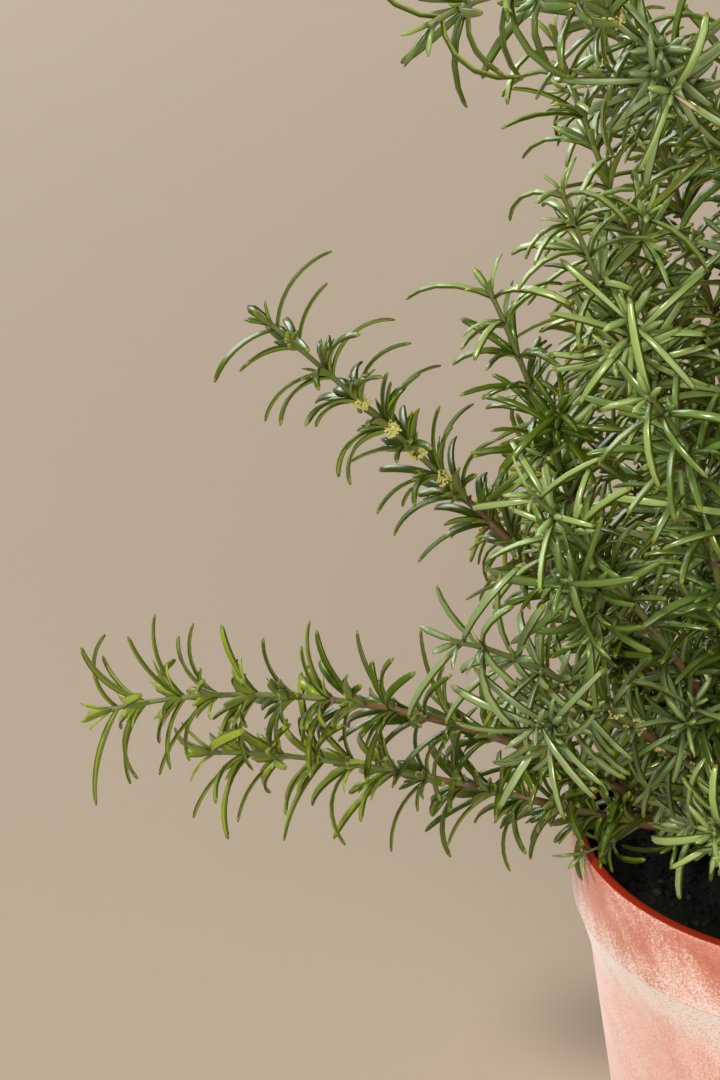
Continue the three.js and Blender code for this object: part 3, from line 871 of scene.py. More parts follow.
def grow_bough(ring, index, trunk, draw):
    name = f"{ring['name']}_{index + 1}"
    bough = {**ring, "bearing": ring["bearing"] + 360 * index / ring["count"], **SINGLE_BOUGHS.get(name, {})}
    tips = []
    for which, letter in enumerate("ab"):
        tip = {
            "bearing": bough["bearing"] + ring["fan"] * (which - 0.5 + SPREAD["bearing"] * (draw() - 0.5)),
            "reach": ring["reach"] * (1 - SPREAD["reach"] * draw() - SECOND_SHOOT["shorter"] * which),
            "height": ring["height"] * (1 + SPREAD["height"] * (draw() - 0.5))
            + SECOND_SHOOT["higher"] * which,
            "rise": ring["rise"] + SPREAD["rise"] * (draw() - 0.5),
            **SINGLE_SHOOTS.get(f"{name}_{letter}", {}),
        }
        tip["point"] = place_at(tip["bearing"], tip["reach"], tip["height"])
        tips.append(tip)
    start = trunk.at((ring["start"] + ring["start_step"] * (index % 2)) / TRUNK_HEIGHT)
    if ring["start"] == TRUNK_HEIGHT:
        start = start + heading(bough["bearing"], 0) * (BOUGH_RADIUS + GAP)
    fork = place_at(bough["bearing"], bough["fork_reach"], bough["fork_height"])
    fork_heading = unit((tips[0]["point"] + tips[1]["point"]) / 2 - start)
    limb = Limb(start, heading(bough["bearing"], bough["start_rise"]), fork, fork_heading)
    shoots = [grow_shoot(tips[which], tips[1 - which], fork, fork_heading) for which in (0, 1)]
    return {
        "name": name, "ring": ring, "limb": limb, "shoots": shoots, "tips": tips,
        "fork": fork, "fork_heading": fork_heading,
    }


def first_heading(tip, fork):
    """Where a shoot is bound for as it leaves the fork."""
    return heading(tip["bearing"], tip["leave"]) if "leave" in tip else unit(tip["point"] - fork)


def grow_shoot(tip, twin, fork, fork_heading):
    apart = first_heading(tip, fork) - first_heading(twin, fork)
    apart = unit(apart - fork_heading * np.dot(apart, fork_heading))
    start_heading = first_heading(tip, fork) if "leave" in tip else fork_heading
    turn = math.acos(min(1.0, float(np.dot(start_heading, fork_heading))))
    clear = GAP + SHOOT_RADIUS * math.sin(turn)
    start = fork + fork_heading * clear + apart * SHOOT_OFFSET
    return Limb(start, start_heading, tip["point"], heading(tip["bearing"], tip["rise"]))


def nearest(points, axis):
    """The distance from each point to the nearest sample of an axis."""
    return np.sqrt(((points[:, None, :] - axis[None, :, :]) ** 2).sum(axis=2).min(axis=1))


def is_in_own_space(points, own, axes):
    """Whether every point stays nearer to its own shoot than to another, and off the limbs."""
    room = nearest(points, axes["shoots"][own]) + SPACE_MARGIN
    for other, axis in enumerate(axes["shoots"]):
        if other != own and (nearest(points, axis) < room).any():
            return False
    if any((nearest(points, axis) < BOUGH_RADIUS + LIMB_MARGIN).any() for axis in axes["boughs"]):
        return False
    reach = np.hypot(points[:, 0], points[:, 1])
    near_pot = (reach < RIM_RADIUS + LIMB_MARGIN) & (points[:, 2] < POT_HEIGHT + LIMB_MARGIN)
    trunk_top = SOIL_HEIGHT + TRUNK_HEIGHT + LIMB_MARGIN
    near_trunk = (reach < 2 * TRUNK_RADIUS) & (points[:, 2] < trunk_top)
    return not (near_pot | near_trunk).any()


def branch_heading(frame_at, turn, angle):
    """A direction that leaves a stem at an angle, on the side given by a turn round the stem."""
    along, side, upper = frame_at
    turn = np.radians(turn)
    angle = np.radians(angle)
    out = side * np.cos(turn) + upper * np.sin(turn)
    return unit(along * np.cos(angle) + out * np.sin(angle))


def twig_limb(stem, share, turn, angle, length, upturn=SIDE_TWIG_UPTURN):
    """A twig that leaves a stem in turn on all its sides and then bends upwards."""
    out = branch_heading(stem.frame(share), turn, angle)
    start = stem.at(share)
    bent_up = unit(out + UP * upturn)
    end = start + out * 0.5 * length + bent_up * 0.5 * length
    return Limb(start, out, end, bent_up)


def grow_side_twigs(stem, count, own, axes, draw):
    """The source's own side twigs, from the same draws."""
    twigs = []
    for i in range(count):
        share = SIDE_TWIG_FIRST + SIDE_TWIG_SPAN * (i + 0.6 * draw()) / SIDE_TWIGS
        turn = GOLDEN_TURN * i + 70 * draw()
        length = SIDE_TWIG_LENGTH * (0.65 + 0.6 * draw()) * (1 - 0.45 * share)
        twig = twig_limb(stem, share, turn, SIDE_TWIG_ANGLE, length)
        if is_in_own_space(twig.at([0.4, 0.6, 0.8, 1]), own, axes):
            twigs.append(twig)
    return twigs


# Growth beyond the source: finer twigs, and the nodes that bear the leaves


class Stem:
    """A leafy stem: its limb, its radii at both ends, and how far back from its tip it is green
    and its leaves are fresh. One that stands alone, outside the crown, has a leaf length of its own,
    as a share of the full length."""

    def __init__(self, limb, radii, green, fresh=0, leaf_share=None):
        self.limb = limb
        self.radii = radii
        self.green = green
        self.fresh = fresh
        self.is_lone = leaf_share is not None
        self.leaf_share = leaf_share or min(1.0, 0.6 + limb.length / 110)
        self.nodes = None

    def radius_at(self, distance):
        share = np.asarray(distance) / self.limb.length
        thick, thin = self.radii
        return thin + (thick - thin) * (1 - share) ** 1.3


def grow_fine_twigs(limb, first, spacing, end, length, rng):
    """Short twigs that leave a limb in turn, shorter towards its tip."""
    twigs = []
    distance = first
    turn = 360 * rng.random()
    while distance < end * limb.length:
        share = float(limb.share_at(distance))
        reach = length * (0.55 + 0.75 * rng.random()) * (1 - 0.55 * share)
        twig = twig_limb(limb, share, turn, FINE_TWIG_ANGLE + about(rng, 12), reach, FINE_TWIG_UPTURN)
        if is_clear(twig.at([0.5, 1.0])).all():
            twigs.append(twig)
        distance += spacing * (0.7 + 0.6 * rng.random())
        turn += GOLDEN_TURN + about(rng, 30)
    return twigs


def is_clear(points):
    """Whether each point is off the pot's wall and the soil, and inside the CAD model's box."""
    reach = np.hypot(points[..., 0], points[..., 1])
    height = points[..., 2]
    inner = RIM_INNER_RADIUS - RIM_CLEARANCE
    in_wall = (reach > inner) & (reach < RIM_RADIUS + RIM_CLEARANCE) & (height < POT_HEIGHT + RIM_CLEARANCE)
    in_soil = (reach <= inner) & (height < SOIL_HEIGHT + SOIL_CLEARANCE)
    low, high = np.array(CAD_BOUNDS) / MM
    in_box = ((points > low - BOX_MARGIN) & (points < high + BOX_MARGIN)).all(axis=-1)
    return in_box & ~in_wall & ~in_soil


def leaf_nodes(stem, spacing, rng):
    """Distances along a stem where pairs of leaves stand, with each pair's size and angle."""
    length = stem.limb.length
    nodes = []
    for from_tip, size, angle in TIP_NODES:
        if from_tip < 0.6 * length:
            nodes.append((length - from_tip, size, angle))
    distance = length - TIP_NODES[-1][0] - 0.85 * spacing
    while distance > FIRST_NODE:
        nodes.append((distance, 0.9 + 0.2 * rng.random(), LEAF_ANGLE + about(rng, 12)))
        distance -= spacing * (0.85 + 0.3 * rng.random())
    return nodes[::-1]


@functools.cache
def grown_plant():
    """Every bough with its stems, and their nodes, grown once for all the pieces."""
    boughs = grow_skeleton()
    shoots = [shoot for bough in boughs for shoot in bough["shoots"]]
    axes = {"shoots": [shoot.axis() for shoot in shoots], "boughs": [b["limb"].axis() for b in boughs]}
    spacing = bpy.context.scene.rosemary_leaves.spacing / MM
    own = 0
    for place, bough in enumerate(boughs):
        rng = np.random.default_rng([SEED, place])
        stems = []
        for shoot, tip in zip(bough["shoots"], bough["tips"]):
            count = tip.get("side_twigs", SIDE_TWIGS)
            fresh = tip.get("fresh", FRESH_REACH * rng.random() ** 2)
            stems.append(Stem(shoot, SHOOT_RADII, GREEN_WOOD, fresh, tip.get("leaf_share")))
            draw = seeded_random(SEED * SHOOT_SEED_STEP * (own + 1) % RANDOM_RANGE)
            side_twigs = grow_side_twigs(shoot, count, own, axes, draw)
            stems += [Stem(twig, SIDE_TWIG_RADII, 0.8 * GREEN_WOOD) for twig in side_twigs]
            end = FINE_TWIG_END if count else BARE_SHOOT_END
            apart = bough["ring"]["twig_spacing"]
            fine = grow_fine_twigs(shoot, FINE_TWIG_START, apart, end, FINE_TWIG_LENGTH, rng)
            closer = LAST_TWIG_SPACING * apart
            for twig in side_twigs:
                fine += grow_fine_twigs(twig, LAST_TWIG_START, closer, FINE_TWIG_END, LAST_TWIG_LENGTH, rng)
            for twig in fine:
                stems.append(Stem(twig, FINE_TWIG_RADII, GREEN_WOOD, FRESH_TWIG_REACH * rng.random() ** 3))
            own += 1
        limb = bough["limb"]
        first = BOUGH_TWIG_FIRST * limb.length
        step = BOUGH_TWIG_SPAN * limb.length / BOUGH_TWIGS
        inner = grow_fine_twigs(limb, first, step, 1, BOUGH_TWIG_LENGTH, rng)
        stems += [Stem(twig, FINE_TWIG_RADII, 0.6 * GREEN_WOOD) for twig in inner]
        for stem in stems:
            stem.nodes = leaf_nodes(stem, spacing, rng)
        bough["stems"] = stems
    return boughs


# Leaves


class Foliage:
    """The leaves of one bough, each a row of numbers: root, heading, upper face, length, width,
    bend, twist, tone and whether it stands alone, where its bend shows most."""

    def __init__(self, settings, beside, rng):
        self.length = settings.length / MM
        self.width = settings.width / MM
        self.small = settings.small_length / MM
        self.crown_habit = {**CROWN_HABIT, "beside": beside}
        self.rng = rng
        self.rows = []

    def dress(self, stem, tone):
        """Opposite pairs of leaves at a stem's nodes, each pair a quarter turn from the last."""
        rng = self.rng
        limb = stem.limb
        habit = LONE_HABIT if stem.is_lone else self.crown_habit
        turn = 90 * rng.random()
        for distance, size, angle in stem.nodes:
            share = float(limb.share_at(distance))
            from_tip = limb.length - distance
            along = limb.frame(share)
            node = {
                **habit, "frame": along, "centre": limb.at(share), "radius": float(stem.radius_at(distance)),
                "from_tip": from_tip, "size": size * stem.leaf_share, "angle": angle,
                "droop": habit["droop"] * math.hypot(*along[0][:2]), "is_lone": stem.is_lone,
                "is_scarred": stem.radii is SHOOT_RADII and from_tip > SCAR_START,
            }
            is_fresh = from_tip < stem.fresh * (0.7 + 0.5 * rng.random())
            for side in (0, 180):
                facing = turn + side + about(rng, 14)
                self.grow_axil(node, facing, habit["new_tone"] if is_fresh else tone)
            turn += 90 + about(rng, 24)

    def grow_axil(self, node, turn, tone):
        """A main leaf, ones nearly as long beside it, stubs at an old node, and a tuft of small ones."""
        rng = self.rng
        width = self.width * node["width"]
        long = self.length * node["size"] * (0.88 + 0.24 * rng.random())
        self.grow_leaf(node, turn, node["angle"] + about(rng, 14), 0, long, width, tone)
        if node["from_tip"] < AXIL_START:
            return
        for hand in (-1, 1):
            if rng.random() < node["beside"]:
                beside = turn + hand * BESIDE_TURN * (0.6 + 0.8 * rng.random())
                shorter = long * (0.7 + 0.3 * rng.random())
                rise = node["angle"] - 6 + about(rng, 18)
                self.grow_leaf(node, beside, rise, 1.2, shorter, 0.94 * width, tone)
        for _ in range(int(1.4 + rng.random()) if node["is_scarred"] else 0):
            scar_turn = turn + about(rng, 80)
            scar_tone = SCAR if rng.random() < REDDISH_STUBS else DRY
            reach = STUB_LENGTH + 2.5 * rng.random()
            rise = STUB_ANGLE + 40 * rng.random()
            self.grow_leaf(node, scar_turn, rise, -0.5, reach, STUB_WIDTH, scar_tone)
        ripe = min(1.0, node["from_tip"] / RIPE_START)
        for _ in range(int(node["tuft"] + 2.4 * ripe * rng.random() + rng.random())):
            tiny_turn = turn + about(rng, 96)
            tiny = self.small * (0.55 + 0.75 * rng.random()) * (0.7 + 0.3 * ripe)
            rise = 20 + 26 * rng.random()
            self.grow_leaf(node, tiny_turn, rise, 0.6 + 1.6 * rng.random(), tiny, 1.06 * width, tone)

    def grow_leaf(self, node, turn, angle, ahead, length, width, tone):
        """A leaf from the stem's skin, its upper face to the stem's tip, bent back from it."""
        rng = self.rng
        along = unit(branch_heading(node["frame"], turn, angle) - UP * node["droop"])
        out = branch_heading(node["frame"], turn, 90.0)
        upper = -unit(out - along * np.dot(out, along))
        roll = rng.normal(0, 0.3)
        upper = upper * math.cos(roll) + np.cross(along, upper) * math.sin(roll)
        root = node["centre"] + out * 0.6 * node["radius"] + node["frame"][0] * ahead
        bend = LEAF_BEND * (0.5 + 0.85 * rng.random()) * min(1.0, length / 22)
        wide = width * (0.78 + 0.36 * rng.random()) * min(1.0, 0.7 + length / 60)
        if length < DRY_LENGTH and rng.random() < DRY_SHARE:
            tone = DRY
            wide *= 0.6
        twist = rng.normal(0, 0.25)
        self.rows.append((*root, *along, *upper, length, wide, bend, twist, tone, node["is_lone"]))

    def piece(self, name, thickness, materials):
        """One joined piece of the leaves, each face in its leaf's tone or in its part's finish."""
        rows = np.array(self.rows)
        is_long = rows[:, LENGTH] > LONG_LEAF
        is_lone = rows[:, LONE] == 1
        kinds = [
            (is_long & is_lone, LONE_STATIONS, LEAF_SECTION, LEAF_PARTS, 1),
            (is_long & ~is_lone, LEAF_STATIONS, LEAF_SECTION, LEAF_PARTS, 1),
            (~is_long, SMALL_STATIONS, SMALL_SECTION, SMALL_PARTS, SMALL_THICKNESS),
        ]
        points = []
        faces = []
        slots = []
        offset = 0
        for chosen, stations, section, parts, share in kinds:
            table = fitted(rows[chosen])
            corners = leaf_corners(table, stations, section, share * thickness)
            tones = table[:, TONE].astype(int)
            slot = np.tile(tones[:, None, None], (1, len(stations) - 1, len(section)))
            if stations is not SMALL_STATIONS:
                slot[:, -1] = np.where(slot[:, -1] < DRY, TIP, slot[:, -1])
            slot = np.where((slot < DRY) & (parts != OWN), parts, slot)
            ends = np.stack([tones, np.where(tones < DRY, TIP, tones)], axis=-1)
            points.append(corners.reshape(-1, 3))
            faces += [block + offset for block in leaf_faces(len(table), len(stations), len(section))]
            slots += [slot.ravel(), ends.ravel()]
            offset += corners.size // 3
        return array_piece(name, np.vstack(points), faces, materials, np.concatenate(slots))


def fitted(table):
    """The leaves that stay clear of the pot and soil, shortened where that is enough."""
    kept = np.zeros(len(table), bool)
    for fit in LEAF_FITS:
        waiting = ~kept
        trial = table[waiting].copy()
        trial[:, LENGTH] *= fit
        clear = is_clear(leaf_centres(trial, LEAF_SAMPLES)[0]).all(axis=1)
        places = np.flatnonzero(waiting)[clear]
        table[places, LENGTH] = trial[clear, LENGTH]
        kept[places] = True
    return table[kept]


def leaf_centres(table, shares):
    """The midline of every leaf: it leaves the root straight and bends back in an arc."""
    length = table[:, LENGTH, None]
    bend = np.maximum(table[:, BEND, None], 0.001)
    turned = bend * shares
    forward = length * np.sin(turned) / bend
    drop = length * (1 - np.cos(turned)) / bend
    centre = table[:, None, ROOT] + forward[..., None] * table[:, None, ALONG]
    return centre - drop[..., None] * table[:, None, UPPER], turned


def leaf_corners(table, stations, section, thickness):
    """The corners of every leaf: leaves, then stations, then the points of the section."""
    shares, halves, depths = np.array(stations).T
    centre, turned = leaf_centres(table, shares)
    along, upper = table[:, None, ALONG], table[:, None, UPPER]
    side = np.cross(upper, along)
    raised = np.cos(turned)[..., None] * upper + np.sin(turned)[..., None] * along
    twist = (table[:, TWIST, None] * shares)[..., None]
    across = np.cos(twist) * side + np.sin(twist) * raised
    raised = np.cos(twist) * raised - np.sin(twist) * side
    half_width = 0.5 * table[:, WIDTH, None] * halves
    half_depth = 0.5 * thickness * depths
    x, y = np.array(section).T
    wide = (half_width[..., None] * x)[..., None] * across[:, :, None, :]
    deep = (half_depth[:, None] * y)[None, ..., None] * raised[:, :, None, :]
    return centre[:, :, None, :] + wide + deep


def leaf_faces(count, rings, around):
    """Faces of closed blades: the quads of all the leaves, and then the ends."""
    j = np.arange(around)
    caps = np.array([j[::-1], (rings - 1) * around + j])
    first = np.arange(count)[:, None, None] * rings * around
    return (first + ring_quads(rings, around)).reshape(-1, 4), (first + caps).reshape(-1, around)


# Operators


class RosemaryPot(bpy.types.Operator):
    """Adds the pot: a tapered body, a deep collar, a rounded rim and a foot with drain holes"""

    bl_idname = "rosemary.add_pot"
    bl_label = "Add Pot"

    def execute(self, context):
        pot = context.scene.rosemary_pot
        channel_outer = BODY_FOOT_RADIUS - FOOT_RING_WIDTH
        profile = rounded([
            (0, 0, 0),
            (FOOT_PAD_RADIUS, 0, 0.6),
            (FOOT_PAD_RADIUS + FOOT_CHANNEL_DEPTH, FOOT_CHANNEL_DEPTH, 0.8),
            (channel_outer - FOOT_CHANNEL_DEPTH, FOOT_CHANNEL_DEPTH, 0.8),
            (channel_outer, 0, 0.6),
            (BODY_FOOT_RADIUS, 0, 1.6),
            (BODY_TOP_RADIUS, BODY_TOP_HEIGHT, 5),
            (COLLAR_FOOT_RADIUS - COLLAR_STEP, COLLAR_FOOT - 0.2, 0.3),
            (COLLAR_FOOT_RADIUS, COLLAR_FOOT + 0.1, 0.4),
            (RIM_RADIUS, POT_HEIGHT, RIM_ROUNDING),
            (RIM_INNER_RADIUS, POT_HEIGHT, RIM_ROUNDING),
            (COLLAR_INNER_RADIUS, COLLAR_FOOT, 2),
            (BODY_TOP_RADIUS - WALL, BODY_TOP_HEIGHT, 4),
            (BODY_FOOT_RADIUS - WALL, FLOOR, 3),
            (0, FLOOR, 0),
        ])
        points, faces = lathe(profile, POT_SEGMENTS)
        x, y, height = points[faces[0]].mean(axis=1).T
        reach = np.hypot(x, y)
        is_rim = (height > POT_HEIGHT - 0.75 * RIM_ROUNDING) & (reach < RIM_RADIUS - 0.7 * RIM_ROUNDING)
        wall = np.interp(
            height, [0, BODY_TOP_HEIGHT, COLLAR_FOOT, POT_HEIGHT],
            [BODY_FOOT_RADIUS, BODY_TOP_RADIUS, COLLAR_FOOT_RADIUS, RIM_RADIUS],
        )
        is_clean = is_rim | (reach < wall - 0.6 * WALL)
        slots = np.concatenate([is_clean, np.ones(2 * POT_SEGMENTS)])
        clean = grained("pot_clean_plastic", pot.plastic, 0.3, 0.22, 260, 4, specular_ior_level=0.3)
        piece = array_piece("pot_shell", points, faces, [pot_bloomed_plastic(pot), clean], slots)
        self.drill(piece)
        finish_piece(piece, ["pot"])
        return {"FINISHED"}

    def drill(self, piece):
        """Cuts the drain holes through the floor."""
        shape = bmesh.new()
        for i in range(DRAIN_HOLES):
            hole = bmesh.ops.create_cone(
                shape, cap_ends=True, segments=DRAIN_SEGMENTS, radius1=DRAIN_RADIUS * MM,
                radius2=DRAIN_RADIUS * MM, depth=4 * FLOOR * MM,
            )
            spot = heading(360 * i / DRAIN_HOLES, 0) * DRAIN_CIRCLE * MM
            bmesh.ops.translate(shape, verts=hole["verts"], vec=spot)
        mesh = bpy.data.meshes.new("drain_holes")
        shape.to_mesh(mesh)
        shape.free()
        cutter = add_object("drain_holes", mesh)
        cut = piece.modifiers.new("Drain holes", "BOOLEAN")
        cut.operation = "DIFFERENCE"
        cut.solver = "EXACT"
        cut.object = cutter
        freeze(piece)
        bpy.data.objects.remove(cutter)


class RosemarySoil(bpy.types.Operator):
    """Adds the potting soil: an uneven surface with loose crumbs on it"""

    bl_idname = "rosemary.add_soil"
    bl_label = "Add Soil"

    def execute(self, context):
        pot = context.scene.rosemary_pot
        edge_height = SOIL_HEIGHT - SOIL_EDGE_DROP
        share = (edge_height - COLLAR_FOOT) / (COLLAR_HEIGHT - RIM_ROUNDING)
        edge_radius = COLLAR_INNER_RADIUS + (RIM_INNER_RADIUS - COLLAR_INNER_RADIUS) * share - GAP
        below = [
            (0, FLOOR + GAP),
            (BODY_FOOT_RADIUS - WALL - 2 * GAP, FLOOR + GAP),
            (BODY_TOP_RADIUS - WALL - 2 * GAP, BODY_TOP_HEIGHT),
            (COLLAR_INNER_RADIUS - GAP, COLLAR_FOOT),
            (edge_radius, edge_height),
        ]
        rings = np.linspace(edge_radius, 0, SOIL_RINGS)[1:]
        heights = np.interp(rings, [SOIL_FLAT_RADIUS, edge_radius], [SOIL_HEIGHT, edge_height])
        points, faces = lathe(np.array(below + list(zip(rings, heights))), SOIL_SEGMENTS)
        self.roughen(points, edge_radius)
        piece = array_piece("soil_surface", points, faces)
        reshape(
            piece, self.shape(), density=pot.crumb_density, crumb_size=pot.crumb_size, seed=7,
            ground=moist_soil(pot), crumbs=crumb_soil(pot),
        )
        finish_piece(piece, ["potting_soil"])
        return {"FINISHED"}

    def roughen(self, points, edge_radius):
        """Lumps and hollows, left out at the wall and where the trunk stands."""
        x, y, height = points.T
        is_top = height > SOIL_HEIGHT - SOIL_EDGE_DROP - 0.01
        fade = np.clip((edge_radius - np.hypot(x, y)) / WAVE_FADE, 0, 1) * is_top
        waves = np.zeros(len(points))
        rng = np.random.default_rng(SEED)
        for size in SOIL_WAVES:
            for _ in range(3):
                bearing = 2 * math.pi * rng.random()
                phase = 2 * math.pi * rng.random()
                across = x * math.cos(bearing) + y * math.sin(bearing)
                waves += WAVE_HEIGHT * size * np.sin(2 * math.pi * across / size + phase)
        points[:, 2] += fade * (waves - 0.6)

    def shape(self):
        """The ground with crumbs scattered on its top, each a lump that is turned at random."""
        shape = Shape(
            "soil_crumbs", density="Float", crumb_size="Float", seed="Int", ground="Material",
            crumbs="Material",
        )
        given = shape.given
        place = shape.add("GeometryNodeInputPosition")
        is_top = shape.compare(shape.height(place), "GREATER_THAN", (SOIL_HEIGHT - CRUMB_DEPTH) * MM)
        points = shape.add("GeometryNodeDistributePointsOnFaces", {
            "Mesh": given["Geometry"], "Selection": is_top, "Density": given["density"],
            "Seed": given["seed"],
        })
        wobble = shape.vectors("SUBTRACT", shape.noise(place, 1.3, 1, output="Color"), (0.5, 0.5, 0.5))
        wobble = shape.scaled(wobble, 1.1, 1.1, 1.1)
        lump = shape.add("GeometryNodeSetPosition", {"Geometry": shape.grain(), "Offset": wobble})
        share = shape.random_number(0.12, 1.0, 5)
        size = share * share * share * given["crumb_size"] + 0.15 * given["crumb_size"]
        crumbs = shape.painted(shape.scattered(points, lump, 3, size), "crumbs")
        joined = shape.node("GeometryNodeJoinGeometry")
        for part in (crumbs, shape.painted(given["Geometry"], "ground")):
            shape.feed(joined.inputs[0], part)
        return shape.close(Field(shape, joined.outputs[0]))


class RosemaryTrunk(bpy.types.Operator):
    """Adds the short trunk, with flared roots and the relief of its bark"""

    bl_idname = "rosemary.add_trunk"
    bl_label = "Add Trunk"

    def execute(self, context):
        wood = context.scene.rosemary_wood
        limb = trunk_limb()
        shares = np.linspace(0, 1, TRUNK_STEPS + 1)
        turns = np.arange(TRUNK_SIDES) * 2 * math.pi / TRUNK_SIDES
        _, side, upper = limb.frame(shares)
        distance = (shares * TRUNK_HEIGHT)[:, None]
        lobe = 1 + 0.3 * np.cos(FLARE_ROOTS * turns)
        flare = 1 + FLARE * lobe * np.exp(-distance / FLARE_HEIGHT)
        radius = (TRUNK_RADIUS + (TRUNK_TOP_RADIUS - TRUNK_RADIUS) * shares[:, None]) * flare
        ridges = np.sin(9 * turns + 0.09 * distance + 1.7 * np.sin(0.13 * distance + 2 * turns))
        ridges += 0.6 * np.sin(17 * turns - 0.12 * distance + 1.3 * np.sin(0.21 * distance))
        ridges += 0.4 * np.sin(5 * turns + 0.5 * distance)
        fade = np.clip(np.minimum(distance / 4, (TRUNK_HEIGHT - distance) / 4), 0, 1)
        radius = radius - 0.4 * wood.relief / MM * fade * (1 - ridges / 2)
        out = np.cos(turns)[:, None] * side[:, None, :] + np.sin(turns)[:, None] * upper[:, None, :]
        body = limb.at(shares)[:, None, :] + radius[..., None] * out
        points = np.vstack([body.reshape(-1, 3), limb.at([0, 1])])
        faces = tube_faces(TRUNK_STEPS + 1, TRUNK_SIDES)
        piece = array_piece("trunk_bark", points, faces, [ridged_bark(wood)])
        grain = np.stack(np.broadcast_arrays(
            TRUNK_RADIUS * np.cos(turns), TRUNK_RADIUS * np.sin(turns), distance,
        ), axis=-1).reshape(-1, 3)
        grain = np.vstack([grain, [[0, 0, 0], [0, 0, TRUNK_HEIGHT]]])
        attribute = piece.data.attributes.new("grain", "FLOAT_VECTOR", "POINT")
        attribute.data.foreach_set("vector", (grain * MM).astype(np.float32).ravel())
        finish_piece(piece, ["trunk"])
        return {"FINISHED"}


def limb_shape():
    """Tubes along paths: their radius, the relief of the bark and the skin by age."""
    shape = Shape(
        "limbs_along_paths", sides="Int", relief="Float", relief_size="Float", old="Material",
        young="Material", new="Material", scarred="Material",
    )
    given = shape.given
    curve = shape.add("GeometryNodeMeshToCurve", {"Mesh": given["Geometry"]})
    curve, length = shape.kept(curve, shape.add("GeometryNodeSplineParameter", output="Length"), "FLOAT")
    circle = shape.add("GeometryNodeCurvePrimitiveCircle", {"Resolution": given["sides"], "Radius": 1.0})
    circle, around = shape.kept(circle, shape.add("GeometryNodeInputPosition"), "VECTOR")
    radius = shape.named("radius")
    tube = shape.add("GeometryNodeCurveToMesh", {
        "Curve": curve, "Profile Curve": circle, "Scale": radius * MM, "Fill Caps": True,
    })
    lengthwise = shape.add("ShaderNodeCombineXYZ", {"Z": length})
    grain = shape.vectors("ADD", shape.scaled(around, 0.003, 0.003, 0.003), lengthwise)
    tube = shape.add(
        "GeometryNodeStoreNamedAttribute", {"Geometry": tube, "Name": "grain", "Value": grain},
        data_type="FLOAT_VECTOR", domain="POINT",
    )
    ridges = shape.noise(shape.scaled(grain, 1, 1, 0.25), given["relief_size"], 3) - 0.5
    sockets = {0: shape.add("GeometryNodeInputNormal"), "Scale": ridges * given["relief"] * radius}
    offset = shape.add("ShaderNodeVectorMath", sockets, operation="SCALE")
    tube = shape.add("GeometryNodeSetPosition", {"Geometry": tube, "Offset": offset})
    tube = shape.add("GeometryNodeSetShadeSmooth", {"Geometry": tube})
    age = shape.named("age")
    return shape.close(
        tube, old=True, young=shape.compare(age, "LESS_THAN", YOUNG + 0.5),
        new=shape.compare(age, "LESS_THAN", NEW + 0.5),
        scarred=shape.compare(age, "GREATER_THAN", OLD + 0.2),
    )


class RosemaryBoughs(bpy.types.Operator):
    """Adds the bare boughs from the trunk to their forks"""

    bl_idname = "rosemary.add_boughs"
    bl_label = "Add Boughs"

    def execute(self, context):
        paths = []
        for bough in grown_plant():
            limb = bough["limb"]
            shares = np.linspace(0, 1, max(8, int(limb.length / 3)))
            radius = BOUGH_RADIUS + (BOUGH_TIP_RADIUS - BOUGH_RADIUS) * shares
            collar = 1 + BOUGH_COLLAR * np.exp(-shares * limb.length / BOUGH_COLLAR_LENGTH)
            points = np.vstack([limb.at(shares), bough["fork"] + BOUGH_END * bough["fork_heading"]])
            radii = np.append(radius * collar, BOUGH_END_RADIUS)
            paths.append((points, radii, np.full(len(points), OLD)))
        piece = path_object("boughs", paths)
        skins = dict.fromkeys(("old", "young", "new", "scarred"), ridged_bark(context.scene.rosemary_wood))
        reshape(piece, limb_shape(), sides=BOUGH_SIDES, **BOUGH_RELIEF, **skins)
        finish_piece(piece, [f"bough_{bough['name']}" for bough in grown_plant()])
        return {"FINISHED"}


def stem_path(stem, bough):
    """A stem's path with swollen nodes, from inside the limb that bears it."""
    limb = stem.limb
    root = limb.at(0) - limb.frame(0)[0] * ROOT_DEPTH
    if stem.radii is SHOOT_RADII:
        root = bough["fork"] - bough["fork_heading"] * FORK_DEPTH
    nodes = np.array([node[0] for node in stem.nodes])
    places = np.unique([0, limb.length, *(nodes[:, None] + NODE_RINGS).ravel()])
    places = places[(places >= 0) & (places <= limb.length)]
    places = places[np.append(True, np.diff(places) > 0.5)]
    away = np.abs(places[:, None] - nodes).min(axis=1)
    radius = stem.radius_at(places) * (1 + NODE_SWELL * np.exp(-((away / 1.1) ** 2)))
    from_tip = limb.length - places
    age = np.select([from_tip < stem.green, from_tip < OLD_WOOD * stem.green], [NEW, YOUNG], OLD)
    age[(age == YOUNG) & (places % GREEN_PATCH_STEP < GREEN_PATCH)] = NEW
    age[(away < 1) & (from_tip > SCAR_START)] = SCARRED
    end = limb.at(1) + limb.frame(1)[0] * STEM_END
    points = np.vstack([root, limb.at(limb.share_at(places)), end])
    return points, np.concatenate([radius[:1], radius, 0.3 * radius[-1:]]), np.array([age[0], *age, NEW])


class RosemaryTwigs(bpy.types.Operator):
    """Adds the leafy shoots' stems and their twigs, joined by ring"""

    bl_idname = "rosemary.add_twigs"
    bl_label = "Add Twigs"

    def execute(self, context):
        wood = context.scene.rosemary_wood
        shape = limb_shape()
        skins = {
            "old": ridged_bark(wood), "young": twig_skin("young_wood", wood.young_wood),
            "new": twig_skin("green_wood", wood.green_wood), "scarred": twig_skin("scarred_wood", wood.scar),
        }
        for ring in RINGS:
            boughs = [bough for bough in grown_plant() if bough["ring"] is ring]
            paths = [stem_path(stem, bough) for bough in boughs for stem in bough["stems"]]
            piece = path_object(f"twigs_{ring['name']}", paths)
            reshape(piece, shape, sides=wood.sides, **TWIG_RELIEF, **skins)
            finish_piece(piece)
        return {"FINISHED"}


